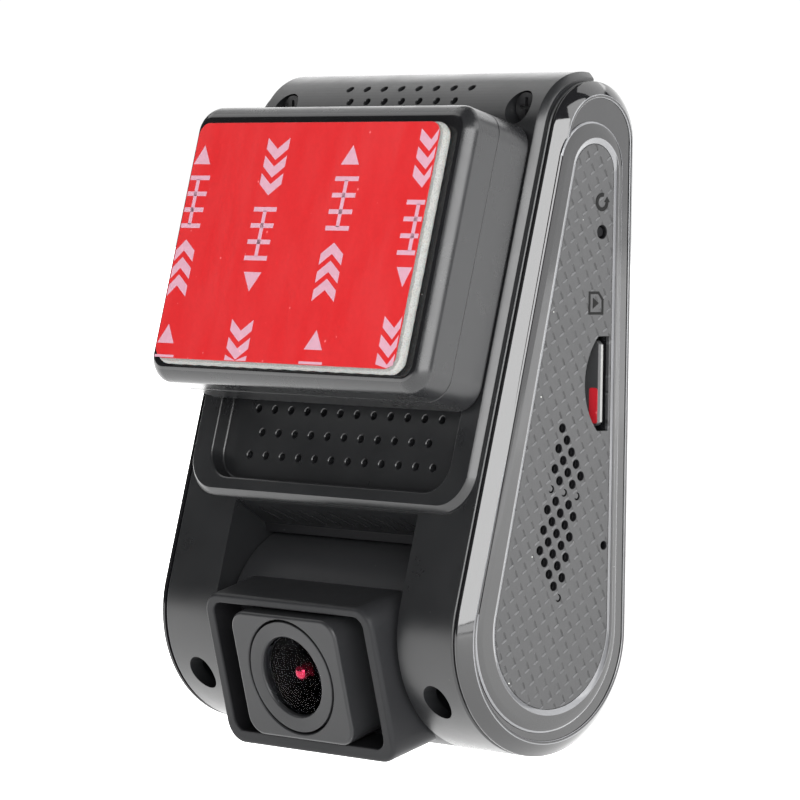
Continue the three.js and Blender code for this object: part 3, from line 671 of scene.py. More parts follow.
def circuit(name):
    """Green solder mask over tracks: the tracks show as slightly raised, lighter lanes."""
    made = Finish(name, Coat_Weight=0.3, Coat_Roughness=0.2)
    axes = made.axes()

    def lanes(axis, pitch, edge, patch):
        """Lanes at an even pitch along one axis, kept where a slow noise says so."""
        lane = made.math("FRACT", made.math("MULTIPLY", axes[axis], pitch))
        return made.math("MULTIPLY", made.fit(lane, edge, edge + 0.06, 0.0, 1.0, True), patch)

    upright = lanes("X", 0.9, 0.4, made.fit(made.noise(5.0, 1.0), 0.45, 0.5, 0.0, 1.0, True))
    level = lanes("Z", 0.7, 0.5, made.fit(made.noise(4.0, 1.0), 0.5, 0.55, 1.0, 0.0, True))
    tracks = made.math("MAXIMUM", upright, level)
    made.colour(made.mix(tracks, (0.006, 0.055, 0.022, 1), (0.012, 0.1, 0.04, 1)))
    made.rough(made.fit(made.noise(0.4, 4.0), 0.3, 0.7, 0.3, 0.45))
    made.bump((tracks, 0.03), (made.noise(0.25, 4.0), 0.004))
    return made.material


def clear(name, tint, rough=0.02, ior=1.5):
    """Glass or clear plastic, with faint wipe marks in its gloss."""
    made = Finish(name, IOR=ior, Transmission_Weight=1.0)
    wipes = made.noise(2.2, 5.0, 0.7, (1.0, 1.0, 0.4))
    made.colour(made.mix(made.fit(wipes, 0.3, 0.7, 0.0, 1.0), shade(tint, 0.97), shade(tint, 1.0)))
    made.rough(made.math("ADD", made.fit(wipes, 0.45, 0.75, 0.0, 0.02), rough, clamp=True))
    return made.material


def coated(name, tint):
    """A dark lens element under a reflecting red coat that is a little thicker in places."""
    made = Finish(name, Metallic=0.85)
    clouds = made.noise(0.8, 3.0)
    made.colour(made.mix(made.fit(clouds, 0.3, 0.7, 0.0, 1.0), shade(tint, 0.8), shade(tint, 1.2)))
    made.rough(made.fit(clouds, 0.3, 0.7, 0.16, 0.24))
    return made.material


# ------------------------------------------------------------------ settings

def length(name, value, description):
    """A length that is given in millimetres and kept in metres."""
    return FloatProperty(
        name=name, description=description, default=value * MM,
        unit="LENGTH", subtype="DISTANCE", precision=5,
    )


def colour(name, value, description):
    return FloatVectorProperty(
        name=name, description=description, default=value, size=4, min=0, max=1, subtype="COLOR",
    )


def brightness(name, value, description):
    return FloatProperty(name=name, description=description, default=value, min=0.0)


class DashCameraSizes(bpy.types.PropertyGroup):
    shell_edge: length("Shell edge", 0.35, "Radius on the side edges of the two shells")
    mouth_edge: length("Pocket mouth edge", 0.28, "Radius round the mouth of the pocket for the foot")
    cover_bevel: length("Cover bevel", 1.8, "Width of the sloping band round each side cover")
    mount_edge: length("Mount edge", 1.9, "Radius round the front face of the mount block")
    plate_edge: length("Lens plate edge", 0.45, "Radius round the front of the lens plate")
    pad_bulge: length("Pad bulge", 0.12, "How far the foam stands out between its two faces")


class DashCameraColours(bpy.types.PropertyGroup):
    shell: colour("Shell", (0.0062, 0.0064, 0.0069, 1), "Grained plastic of the two shells")
    mount: colour("Mount", (0.0078, 0.008, 0.0086, 1), "Grained plastic of the mount block")
    gloss: colour("Gloss", (0.004, 0.004, 0.0045, 1), "Polished plastic of the side covers")
    inlay: colour("Inlay", (0.0225, 0.0227, 0.0235, 1), "Embossed film let into the side covers")
    lens_body: colour("Lens body", (0.0115, 0.0117, 0.0125, 1), "Satin paint of hood, plate and ring")
    liner: colour("Release liner", (0.32, 0.0072, 0.0088, 1), "Film over the adhesive")
    liner_print: colour("Liner marks", (0.33, 0.18, 0.225, 1), "Marks printed on the film")
    foam: colour("Foam", (0.17, 0.172, 0.165, 1), "Adhesive foam")


class DashCameraStage(bpy.types.PropertyGroup):
    key_light: brightness("Key light", 13.0, "Brightness of the softbox beside the camera")
    side_light: brightness("Side light", 3.0, "Brightness of the panels beyond the right side")
    edge_light: brightness("Edge light", 6.0, "Brightness of the small panel above the right side")
    back_light: brightness("Back light", 2.3, "Brightness of the panel behind the object")
    top_light: brightness("Top light", 1.8, "Brightness of the panel above the left side")
    floor_glow: brightness("Floor glow", 2.2, "Light given off by the floor")
    floor_shade: colour("Floor", (0.9, 0.9, 0.89, 1), "Floor under the object")
    floor_half: length("Floor size", 6000.0, "Half the side of the floor")
    focal_length: FloatProperty(
        name="Focal length", description="Lens of the camera", default=196.7, unit="CAMERA")


def sizes():
    return bpy.context.scene.dash_camera_sizes


def colours():
    return bpy.context.scene.dash_camera_colours


FINISHES = {}


def finish(name):
    """The named finish of this object, made the first time it is asked for."""
    if name in FINISHES:
        return FINISHES[name]
    c = colours()
    makers = {
        "shell": lambda: moulded("Grained shell plastic", c.shell, 0.31, 0.17, 0.004, specular=0.36),
        "mount": lambda: moulded("Grained mount plastic", c.mount, 0.29, 0.17, 0.003, specular=0.32),
        "mount_face": lambda: polished("Polished mount face", c.gloss, 0.13),
        "gloss": lambda: polished("Polished cover plastic", c.gloss, 0.05),
        # Paler grey: a painted highlight for the lip round each inlay.
        "lip": lambda: polished("Lip painted highlight", (0.085, 0.086, 0.09, 1), 0.12),
        "inlay": lambda: woven("Embossed weave with painted light and shade", c.inlay, 0.4),
        "lens_body": lambda: moulded("Satin lens paint", c.lens_body, 0.36, 0.12, 0.002, 0.04, 0.07),
        "lens_plate": lambda: moulded("Satin plate paint", c.lens_body, 0.36, 0.12, 0.002, 0.04, 0.19),
        # Matt black for the black parts, and painted shade on the faces of shells, covers, inlays and hood
        # that are given it.
        "black_and_painted_shade": lambda: moulded(
            "Matt black and painted shade", (0.004, 0.004, 0.0045), 0.6, 0.1, 0.003, specular=0.06),
        "void": lambda: moulded(
            "Blackened baffle", (0.0012, 0.0012, 0.0014), 0.8, 0.1, 0.002, specular=0.0),
        "liner": lambda: film("Release film", c.liner),
        "print": lambda: film("Printed marks", c.liner_print),
        "foam": lambda: foam("Foam tape", c.foam),
        "button": lambda: moulded("Button plastic", (0.028, 0.029, 0.031), 0.5, 0.2, 0.006),
        "mark": lambda: moulded("Black printing", (0.003, 0.003, 0.003), 0.5, 0.1, 0.002, specular=0.08),
        "pale_mark": lambda: moulded("Pale printing", (0.45, 0.46, 0.48), 0.5, 0.1, 0.002),
        "glass": lambda: polished("Dark screen glass", (0.004, 0.004, 0.006), 0.03, 0.003, 0.0004, 0.6),
        "lens_glass": lambda: clear("Front lens glass", (0.8, 0.82, 0.86), 0.0, 1.05),
        "inner_glass": lambda: coated("Coated inner lens", (0.42, 0.02, 0.05, 1)),
        "filter_glass": lambda: clear("Infrared filter", (0.3, 0.75, 0.6), 0.03),
        "board": lambda: circuit("Circuit board"),
        "aluminium": lambda: metal("Extruded aluminium", (0.75, 0.76, 0.78), 0.36, (1.0, 1.0, 0.1)),
        "steel": lambda: metal("Plated steel", (0.6, 0.61, 0.63), 0.3, (1.0, 0.2, 1.0)),
        "black_steel": lambda: moulded("Blackened steel", (0.006, 0.006, 0.0065), 0.36, 0.3, 0.006),
        "gold": lambda: metal("Gold plating", (0.9, 0.62, 0.26), 0.26),
        "ceramic": lambda: moulded("Sensor ceramic", (0.55, 0.5, 0.42), 0.55, 0.2, 0.01, 0.05),
        "rubber": lambda: moulded("Washer rubber", (0.012, 0.012, 0.012), 0.8, 0.25, 0.012, 0.05),
        "dark_plastic": lambda: moulded("Dark moulding", (0.011, 0.011, 0.012), 0.5, 0.2, 0.006),
        "sleeve": lambda: moulded(
            "Capacitor sleeve", (0.016, 0.03, 0.07), 0.34, 0.3, 0.005, 0.05, coat=0.3),
        "light_pipe": lambda: clear("Light pipe", (0.8, 0.88, 0.92), 0.2, 1.49),
        "card": lambda: moulded("Card plastic", (0.02, 0.02, 0.021), 0.45, 0.15, 0.004),
        "card_edge": lambda: moulded("Pale card edge", (0.13, 0.13, 0.127), 0.4, 0.15, 0.004, 0.05),
        "card_label": lambda: film("Card label", (0.3, 0.008, 0.014)),
    }
    FINISHES[name] = makers[name]()
    return FINISHES[name]


# ------------------------------------------------------------------ openings shared by the layers of a side

def countersunk(start, end, edge):
    """(inset, level) pairs of a bore cutter that widens by the edge where it leaves the surface at end."""
    return [(0, start), (0, end - edge), (-edge, end), (-edge, end + 3)]


def speaker_centre(row, column):
    """Y and Z of one bore of the slanted grid, or of all of them when given arrays."""
    return [SPEAKER_START[k] + row * SPEAKER_ROW[k] + column * SPEAKER_COLUMN[k] for k in range(2)]


def speaker_holes(start, end, radius=0.57, count=18, blocked=False):
    """The slanted grid of bores in front of the speaker; the blocked ones are left for shallow pits."""
    made = []
    for column in range(7):
        for row in range(5):
            if ((column, row) in BLOCKED_HOLES) != blocked:
                continue
            centre = speaker_centre(row, column)
            outline = circle(centre, radius, count)
            if blocked:
                outline = crescent(centre, radius)
            made.append(prism("hole", outline, countersunk(start, end, 0.07), PROFILE))
    return joined("speaker holes", made)


def crescent(centre, radius):
    """A disc with a smaller disc taken from one side, as an outline."""
    outer = arc((0, 0), radius * 0.92, math.radians(-118), math.radians(118), 15)
    inner = arc((-radius * 0.24, 0), radius * 0.62, math.radians(112), math.radians(-112), 12)
    turn = math.radians(-28)
    spin = np.array([[math.cos(turn), math.sin(turn)], [-math.sin(turn), math.cos(turn)]])
    return flat_outline(np.concatenate([outer, inner]) @ spin + np.array(centre))


def card_slot(start, end):
    """The slot for the card, with the front part of a large circle as the scoop for a finger tip."""
    low, high = CARD_Z - SLOT_HALF, CARD_Z + SLOT_HALF
    slot = block("slot", CARD_Y - 0.75, CARD_Y + 1.05, low, high, start, end, PROFILE)
    scoop = prism("scoop", circle((CARD_Y + 5.6, CARD_Z), SCOOP_RADIUS, 96), [(0, start), (0, end)], PROFILE)
    limit = block("limit", -20, CARD_Y, low, high, start - 1, end + 1, PROFILE)
    return shaped(slot, ("add", shaped(scoop, ("keep", limit))))


def socket_hole(start, end):
    outline = rounded(SOCKET[0] - 1.95, SOCKET[0] + 1.95, SOCKET[1] - 4.2, SOCKET[1] + 4.2, 0.5, 5)
    return prism("socket hole", outline, [(0, start), (0, end)], PROFILE)


def drum_clearance():
    return rod("clearance", (0, 0), DRUM_RADIUS + 0.4, -WINDOW_HALF, WINDOW_HALF, HINGE, count=128)


def front_half():
    return block("front half", -40, 40, -60, PARTING, -20, 120)


def rear_half():
    return block("rear half", -40, 40, PARTING + GAP, 20, -20, 120)


def casing_slab(name, inset, half, edge=0.0, steps=4, power=2.0):
    """The casing outline carried across X, with its two side edges rounded."""
    pairs = wall(-half, half, edge, edge, steps, power)
    return prism(name, lambda extra=0.0: casing_outline(inset + extra), pairs, PROFILE)


# ------------------------------------------------------------------ front shell

def raised_front():
    proud = casing_slab("proud", -RAISED, RAISED_HALF, RAISED_CHAMFER + 0.1, 6, 1.15)
    outline = rounded(-RAISED_HALF - 0.02, RAISED_HALF + 0.02, RAISED_BOTTOM, 130, RAISED_CORNER, 24)
    region = prism("region", outline, wall(-18, RAISED + 0.02, 0, RAISED_CHAMFER + 0.1, 6, 1.15), FRONT)
    return shaped(proud, ("keep", region))


def pocket_cut():
    """The pocket as a cutter whose mouth flares outwards along a quarter circle."""
    flare = sizes().mouth_edge / MM
    angle = np.linspace(0, math.pi / 2, 5)
    mouth = np.stack([-flare * (1 - np.cos(angle)), RAISED - flare + flare * np.sin(angle)], 1)
    foot = 0.35
    base = np.stack([foot * (1 - np.sin(angle)), POCKET_FLOOR + foot * (1 - np.cos(angle))], 1)
    outline = rounded(-POCKET_HALF, POCKET_HALF, POCKET_BOTTOM, POCKET_TOP, 4, 16)
    pairs = np.concatenate([base, mouth, [[-flare, 6.0]]])
    return prism("pocket", outline, pairs, FRONT)


def evenly(count, pitch):
    """Places at an even pitch, centred on nought."""
    return (np.arange(count) - (count - 1) / 2) * pitch


def pocket_vents():
    """Three staggered rows of bores, each with a slight countersink at the pocket floor."""
    made = []
    pairs = [(0, -3.5), (0, POCKET_FLOOR - 0.1), (-0.1, POCKET_FLOOR), (-0.1, 0.5)]
    for level, count in VENT_ROWS:
        for x in evenly(count, VENT_PITCH):
            made.append(prism("vent", circle((x, level), VENT_RADIUS, 18), pairs, FRONT))
    return joined("pocket vents", made)


def top_vents():
    """Two rows of bores that point at the centre of the top curve, each at its own elevation."""
    made = []
    centre = (0, -HIGH_RADIUS, CASING_HEIGHT - HIGH_RADIUS)
    pairs = countersunk(4, HIGH_RADIUS + RAISED, 0.1)
    for lift, count in TOP_VENT_ROWS:
        c, s = math.cos(math.radians(lift)), math.sin(math.radians(lift))
        place = Frame(centre, (1, 0, 0), (0, s, c), (0, -c, s))
        for x in evenly(count, TOP_VENT_PITCH):
            made.append(prism("vent", circle((x, 0), VENT_RADIUS, 18), pairs, place))
    return joined("top vents", made)


def lens_window():
    mouth = flat_outline([
        (-60, 31.1), (-60, -10), (-15, -10), (-15, 20), (-22.35, 26.6), (-22.6, 27.8), (-28.0, 31.1),
    ])
    opening = prism("mouth", mouth, [(0, -WINDOW_HALF), (0, WINDOW_HALF)], PROFILE)
    below = block("below", -WINDOW_HALF, WINDOW_HALF, -60, PARTING + 1, -10, 7)
    return shaped(opening, ("add", drum_clearance()), ("add", below))


def window_frame():
    """The two cheeks beside the lens and the sloping ceiling over it, as solids to be added."""
    made = []
    for side in (-1, 1):
        inner, outer = beside(side, WINDOW_HALF, WINDOW_HALF + CHEEK)
        below = block("below", inner, outer, -60, PARTING, -5, 32.6)
        made.append(shaped(casing_slab("cheek", 0.2, 26), ("keep", below)))
    outline = flat_outline([
        (-22.6, 27.8), (-22.35, 26.6), (-20.9, 27.4), (-21.3, 29.4), (-24.9, 32.2), (-24.9, 33.2),
        (-27.9, 31.0),
    ])
    half = WINDOW_HALF + CHEEK
    made.append(prism("ceiling", outline, [(0, -half), (0, half)], PROFILE))
    return made


def louvres():
    """Slanted slots in the sloping ceiling: thin parallelograms carried a little way into it."""
    low, high = np.array([-23.2, 28.17]), np.array([-27.0, 30.49])
    along = (high - low) / np.linalg.norm(high - low)
    place = Frame((0, low[0], low[1]), (1, 0, 0), (0, along[0], along[1]), (0, -along[1], along[0]))
    made = []
    for x in evenly(LOUVRE_COUNT, LOUVRE_PITCH):
        outline = flat_outline([(x + 0.75, 0.3), (x + 1.3, 0.3), (x - 0.75, 3.9), (x - 1.3, 3.9)])
        made.append(prism("louvre", outline, [(0, -0.7), (0, 0.9)], place))
    return joined("louvres", made)


class DASHCAM_OT_front_shell(bpy.types.Operator):
    """Front shell with its raised panel, pocket, vents and lens window"""
    bl_idname = "dashcam.front_shell"
    bl_label = "Front Shell"

    def execute(self, context):
        shell = casing_slab("front_shell_moulding", 0, SHELL_HALF, sizes().shell_edge / MM)
        shaped(shell, ("add", raised_front()), ("keep", front_half()),
               ("cut", casing_slab("cavity", WALL, SHELL_HALF - SIDE_WALL)))
        shaped(shell, *[("add", part) for part in window_frame()])
        shaped(shell, ("cut", pocket_cut()))
        for side in (-1, 1):
            inner, outer = beside(side, RAIL_INNER, POCKET_HALF + 0.3)
            rail = block("rail", inner, outer, RAIL_START, POCKET_TOP + 0.3,
                         RAIL_UNDERSIDE, RAISED - 0.01, FRONT)
            shaped(shell, ("add", rail))
        shaped(shell, ("cut", lens_window()), ("cut", louvres()),
               ("cut", pocket_vents()), ("cut", top_vents()),
               ("cut", block("speaker bay", 24, 30, -18.8, -9.9, 19.6, 43.3)),
               ("cut", card_slot(24, 30)), ("cut", socket_hole(-30, -24)),
               ("cut", rod("reset", RESET, 1.1, 24, 30, PROFILE)),
               ("cut", block("contacts", -6.2, 6.2, 73.2, 79.2, -4, 0, FRONT)),
               ("cut", rod("pivot", (0, 0), TRUNNION_RADIUS + 0.25, -20, 20, HINGE)))
        for x, z, seat in CASE_SCREWS:
            shaped(shell, ("cut", rod("recess", (x, z), 2.18, -seat, 60, REAR_FACE, count=40)))
            shaped(shell, ("cut", rod("shank", (x, z), 1.05, 0, -seat + 1, REAR_FACE)))
        fitted(shell, finish("shell"), "casing", ("front_shell",), 27)
        # Painted shade: the strip of shell over the lens drum gets the matt black finish.
        x, y, z = face_middles(shell, CASING).T
        shaded_strip = (np.abs(x) < WINDOW_HALF + 0.1) & between(y, *SHADE_STRIP_Y) & between(z, *SHADE_STRIP_Z)
        painted(shell, "black_and_painted_shade", shaded_strip)
        return {"FINISHED"}


# ------------------------------------------------------------------ rear shell

class DASHCAM_OT_rear_shell(bpy.types.Operator):
    """Rear shell with the openings for screen, buttons and status lights"""
    bl_idname = "dashcam.rear_shell"
    bl_label = "Rear Shell"

    def execute(self, context):
        shell = casing_slab("rear_shell_moulding", 0, SHELL_HALF, sizes().shell_edge / MM)
        shaped(shell, ("keep", rear_half()), ("cut", casing_slab("cavity", WALL, SHELL_HALF - SIDE_WALL)))
        screen = rounded(-SCREEN_HALF, SCREEN_HALF, SCREEN_LOW, SCREEN_HIGH, 0.7, 6)
        flare = [(-0.25, -1.0), (-0.25, 0.0), (-0.08, 0.08), (0.0, 0.25), (0.0, 0.9)]
        shaped(shell, ("cut", prism("screen", screen, flare, REAR_FACE)),
               ("cut", block("aperture", -21, 21, 43.5, 75, -1, 5, REAR_FACE)),
               ("cut", drum_clearance()),
               ("cut", block("below", -WINDOW_HALF, WINDOW_HALF, -10, -4.5, -5, 12)),
               ("cut", card_slot(24, 30)),
               ("cut", rod("reset", RESET, 1.1, 24, 30, PROFILE)),
               ("cut", rod("sound", MICROPHONE, 0.7, 24, 30, PROFILE)))
        for x in button_places():
            outline = rounded(x - 3.3, x + 3.3, BUTTON_Z - 2, BUTTON_Z + 2, 0.9, 8)
            pairs = [(-0.2, -1.0), (-0.2, 0.0), (-0.06, 0.06), (0.0, 0.2), (0.0, 5.0)]
            shaped(shell, ("cut", prism("button", outline, pairs, REAR_FACE)))
        for x in LIGHT_PLACES:
            shaped(shell, ("cut", rod("light", (x, LIGHT_Z), 0.9, -1, 4, REAR_FACE, count=24)))
        fitted(shell, finish("shell"), "casing", ("rear_shell",), 27)
        return {"FINISHED"}


def button_places():
    return evenly(BUTTON_COUNT, BUTTON_PITCH)


# ------------------------------------------------------------------ side covers and inlays

def cover_rings():
    """From the lower edge of the cover over its sloping band, the narrow groove and the raised rim to the
    recess. Each ring is the casing, rim or inlay outline at its own inset, lifted to its level. The band
    is a straight slope with a crown of half a sine wave."""
    bevel = sizes().cover_bevel / MM
    share = np.linspace(0, 1, 7)
    crown = 0.05 * np.sin(share * math.pi)
    foot, top = 28.33, 29.5
    band = zip(0.13 + (bevel - 0.23) * share - crown, foot + (top - foot) * share + crown)
    casing = [(0.3, COVER_INNER), (0.08, COVER_INNER + 0.07), (0.0, COVER_INNER + 0.25), (0.0, 28.12),
              (0.03, 28.22), *band, (bevel + 0.03, 29.57), (bevel + 0.16, 29.59), (bevel + 0.28, 29.56),
              (bevel + 0.36, 29.46), (bevel + 0.4, 29.36)]
    rim = [(-0.02, 29.36), (0.04, 29.46), (0.14, 29.56), (0.3, 29.62), (0.7, 29.67), (1.1, 29.71),
           (1.3, 29.73)]
    inlay = [(-0.85, COVER_OUTER - 0.01), (-0.75, COVER_OUTER), (-0.64, COVER_OUTER - 0.03),
             (-0.1, COVER_OUTER - 0.26), (-0.04, COVER_OUTER - 0.3), (-0.04, INLAY_BACK)]
    rings = []
    for outline, pairs in ((casing_outline, casing), (rim_outline, rim), (inlay_outline, inlay)):
        for inset, level in pairs:
            flat = outline(inset)
            rings.append(np.column_stack([flat, np.full(len(flat), level)]))
    return rings


class DASHCAM_OT_side_covers(bpy.types.Operator):
    """Polished cover on each side, with a sloping band, a low band and a raised rim round its inlay"""
    bl_idname = "dashcam.side_covers"
    bl_label = "Side Covers"

    def execute(self, context):
        right = skin("right_cover_moulding", cover_rings(), PROFILE)
        left = mirrored(right, "left_cover_moulding")
        shaped(right, ("cut", card_slot(20, 40)), ("cut", speaker_holes(20, 28.9)),
               ("cut", rod("reset", RESET, 0.95, 20, 40, PROFILE, count=24)),
               ("cut", rod("sound", MICROPHONE, 0.6, 20, 40, PROFILE, count=20)))
        shaped(left, ("cut", socket_hole(-40, -20)))
        for cover, node in ((right, "right_cover"), (left, "left_cover")):
            fitted(cover, finish("gloss"), "casing", (node,), 40)
            # Painted shade in the bores.
            paint_bore_shade(cover, INLAY_BACK - 0.02)
            # Painted highlight on the lip round the inlay.
            paint_lip_highlight(cover)
        return {"FINISHED"}


class DASHCAM_OT_side_inlays(bpy.types.Operator):
    """Embossed inlay on each side, with the speaker holes, the slots and the small printed marks"""
    bl_idname = "dashcam.side_inlays"
    bl_label = "Side Inlays"

    def execute(self, context):
        pairs = wall(INLAY_BACK + 0.08, INLAY_FACE, 0, 0.12, 3)
        right = prism("right_inlay_film", inlay_outline, pairs, PROFILE)
        left = mirrored(right, "left_inlay_film")
        bore = countersunk(20, INLAY_FACE, 0.1)
        shaped(right, ("cut", card_slot(20, 40)), ("cut", speaker_holes(20, INLAY_FACE)),
               ("cut", speaker_holes(29.1, INLAY_FACE, blocked=True)),
               ("cut", prism("reset", circle(RESET, 0.84, 28), bore, PROFILE)),
               ("cut", prism("sound", circle(MICROPHONE, 0.5, 24), bore, PROFILE)))
        shaped(left, ("cut", socket_hole(-40, -20)))
        for film_piece, node in ((right, "right_inlay"), (left, "left_inlay")):
            fitted(film_piece, finish("inlay"), "casing", (node,), 35)
            # Painted shade in the bores.
            paint_bore_shade(film_piece, INLAY_FACE - 0.02)
        fitted(reset_mark(), finish("mark"), "casing")
        fitted(card_mark(), finish("mark"), "casing")
        return {"FINISHED"}


def paint_lip_highlight(cover):
    """Painted highlight: the sloping lip round the inlay is given a paler grey. Its faces are those that lie
    above the inlay, lean by 14 to 60 degrees, and are near the line along the middle of the lip: the distance
    to the nearest of its points is below the root of (half width squared + half step squared)."""
    line, half_width = inlay_outline(-0.42), 0.36
    step = np.linalg.norm(np.roll(line, -1, 0) - line, axis=1).max()
    middles = face_middles(cover, PROFILE)
    away = middles[:, None, :2] - line[None]
    near = np.hypot(away[..., 0], away[..., 1]).min(axis=1) < math.hypot(half_width, step / 2)
    flat = np.empty(len(cover.data.polygons) * 3)
    cover.data.polygons.foreach_get("normal", flat)
    raised = np.abs(middles[:, 2]) > INLAY_FACE - 0.04
    # Painted highlight: these lip faces get the paler grey.
    painted(cover, "lip", near & raised & between(np.abs(flat[0::3]), 0.5, 0.97))


def paint_bore_shade(piece, level):
    """Painted shade: matt black for every face below a level that lies in the speaker grid, the reset bore or
    the microphone bore, standing for the shade that fills the bores of a real grille."""
    middles = face_middles(piece, PROFILE)
    y, z, x = middles.T
    y_limits, z_limits = speaker_limits()
    inside = between(y, *y_limits) & between(z, *z_limits)
    for centre, radius in ((RESET, 1.1), (MICROPHONE, 0.8)):
        inside |= np.linalg.norm(middles[:, :2] - np.array(centre), axis=1) < radius
    painted(piece, "black_and_painted_shade", inside & between(np.abs(x), 20.5, level))


def speaker_limits():
    """The limits of the speaker grid in Y and in Z: its outermost centres, moved outwards by 0.8 mm."""
    centres = speaker_centre(*np.meshgrid(np.arange(5), np.arange(7)))
    return [(values.min() - 0.8, values.max() + 0.8) for values in centres]


def reset_mark():
    """An open ring with an arrow head at its end, drawn as two thin solids."""
    centre = np.array(RESET_MARK)
    start, end = math.radians(70), math.radians(360)
    ring = np.concatenate([arc(centre, 1.2, start, end, 40), arc(centre, 0.68, end, start, 40)])
    tip = centre + np.array([[0.38, 0.0], [1.48, 0.0], [0.93, 0.72]])
    return joined("reset_mark", [printed(ring), printed(tip)])


def printed(points):
    """A thin patch that stands a little proud of an inlay."""
    return prism("patch", flat_outline(points), PRINT_LEVELS, PROFILE)


def card_mark():
    """The outline of a card with one cut corner, and a small triangle that points in."""
    centre = np.array(CARD_MARK)
    outer = np.array([(-1.4, -1.5), (1.4, -1.5), (1.4, 0.5), (0.5, 1.5), (-1.4, 1.5)])
    inner = np.array([(-1.06, -1.16), (1.06, -1.16), (1.06, 0.36), (0.36, 1.16), (-1.06, 1.16)])
    arrow = np.array([(-0.6, -0.75), (0.5, 0.0), (-0.6, 0.7)])
    levels = [(0, INLAY_FACE - 1), (0, INLAY_FACE + 1)]
    hollow = prism("hollow", flat_outline(inner + centre), levels, PROFILE)
    return joined("card_mark", [shaped(printed(outer + centre), ("cut", hollow)), printed(arrow + centre)])


# ------------------------------------------------------------------ lens unit

def hood_rings():
    """The hood from the drum to its front face. At share t of the way its half width is the front's plus
    1.06 mm times (1 - t) to the power 1.3, kept inside the ends of the drum. Its corners on top and below
    stand out further than the middle, by an amount that grows as x squared and as t. The last rings are
    drawn in to round off the front edge."""
    root = 3
    edges = {0.965: 0.03, 0.98: 0.1, 0.99: 0.2, 0.996: 0.33, 1.0: 0.55}
    steps = [(t, 0.0) for t in np.linspace(0, 0.95, 16)] + list(edges.items())
    rings = []
    for t, edge in steps:
        flare = (DRUM_HALF - 0.35 - HOOD_HALF) * (1 - t) ** 1.3 * 1.25
        half = min(HOOD_HALF + flare, DRUM_HALF - 0.2)
        flat = rounded(-half, half, HOOD_BOTTOM, HOOD_TOP, 3.0, 14)(edge)
        bow = (np.abs(flat[:, 0]) / HOOD_HALF) ** 2
        lift = 0.42 * bow * np.clip(flat[:, 1] / HOOD_TOP, 0, 1) * t
        sink = 0.5 * bow * np.clip(flat[:, 1] / HOOD_BOTTOM, 0, 1) * t
        flat[:, 1] += lift - sink
        rings.append(np.column_stack([flat, np.full(len(flat), root + (HOOD_FRONT - root) * t)]))
    return rings


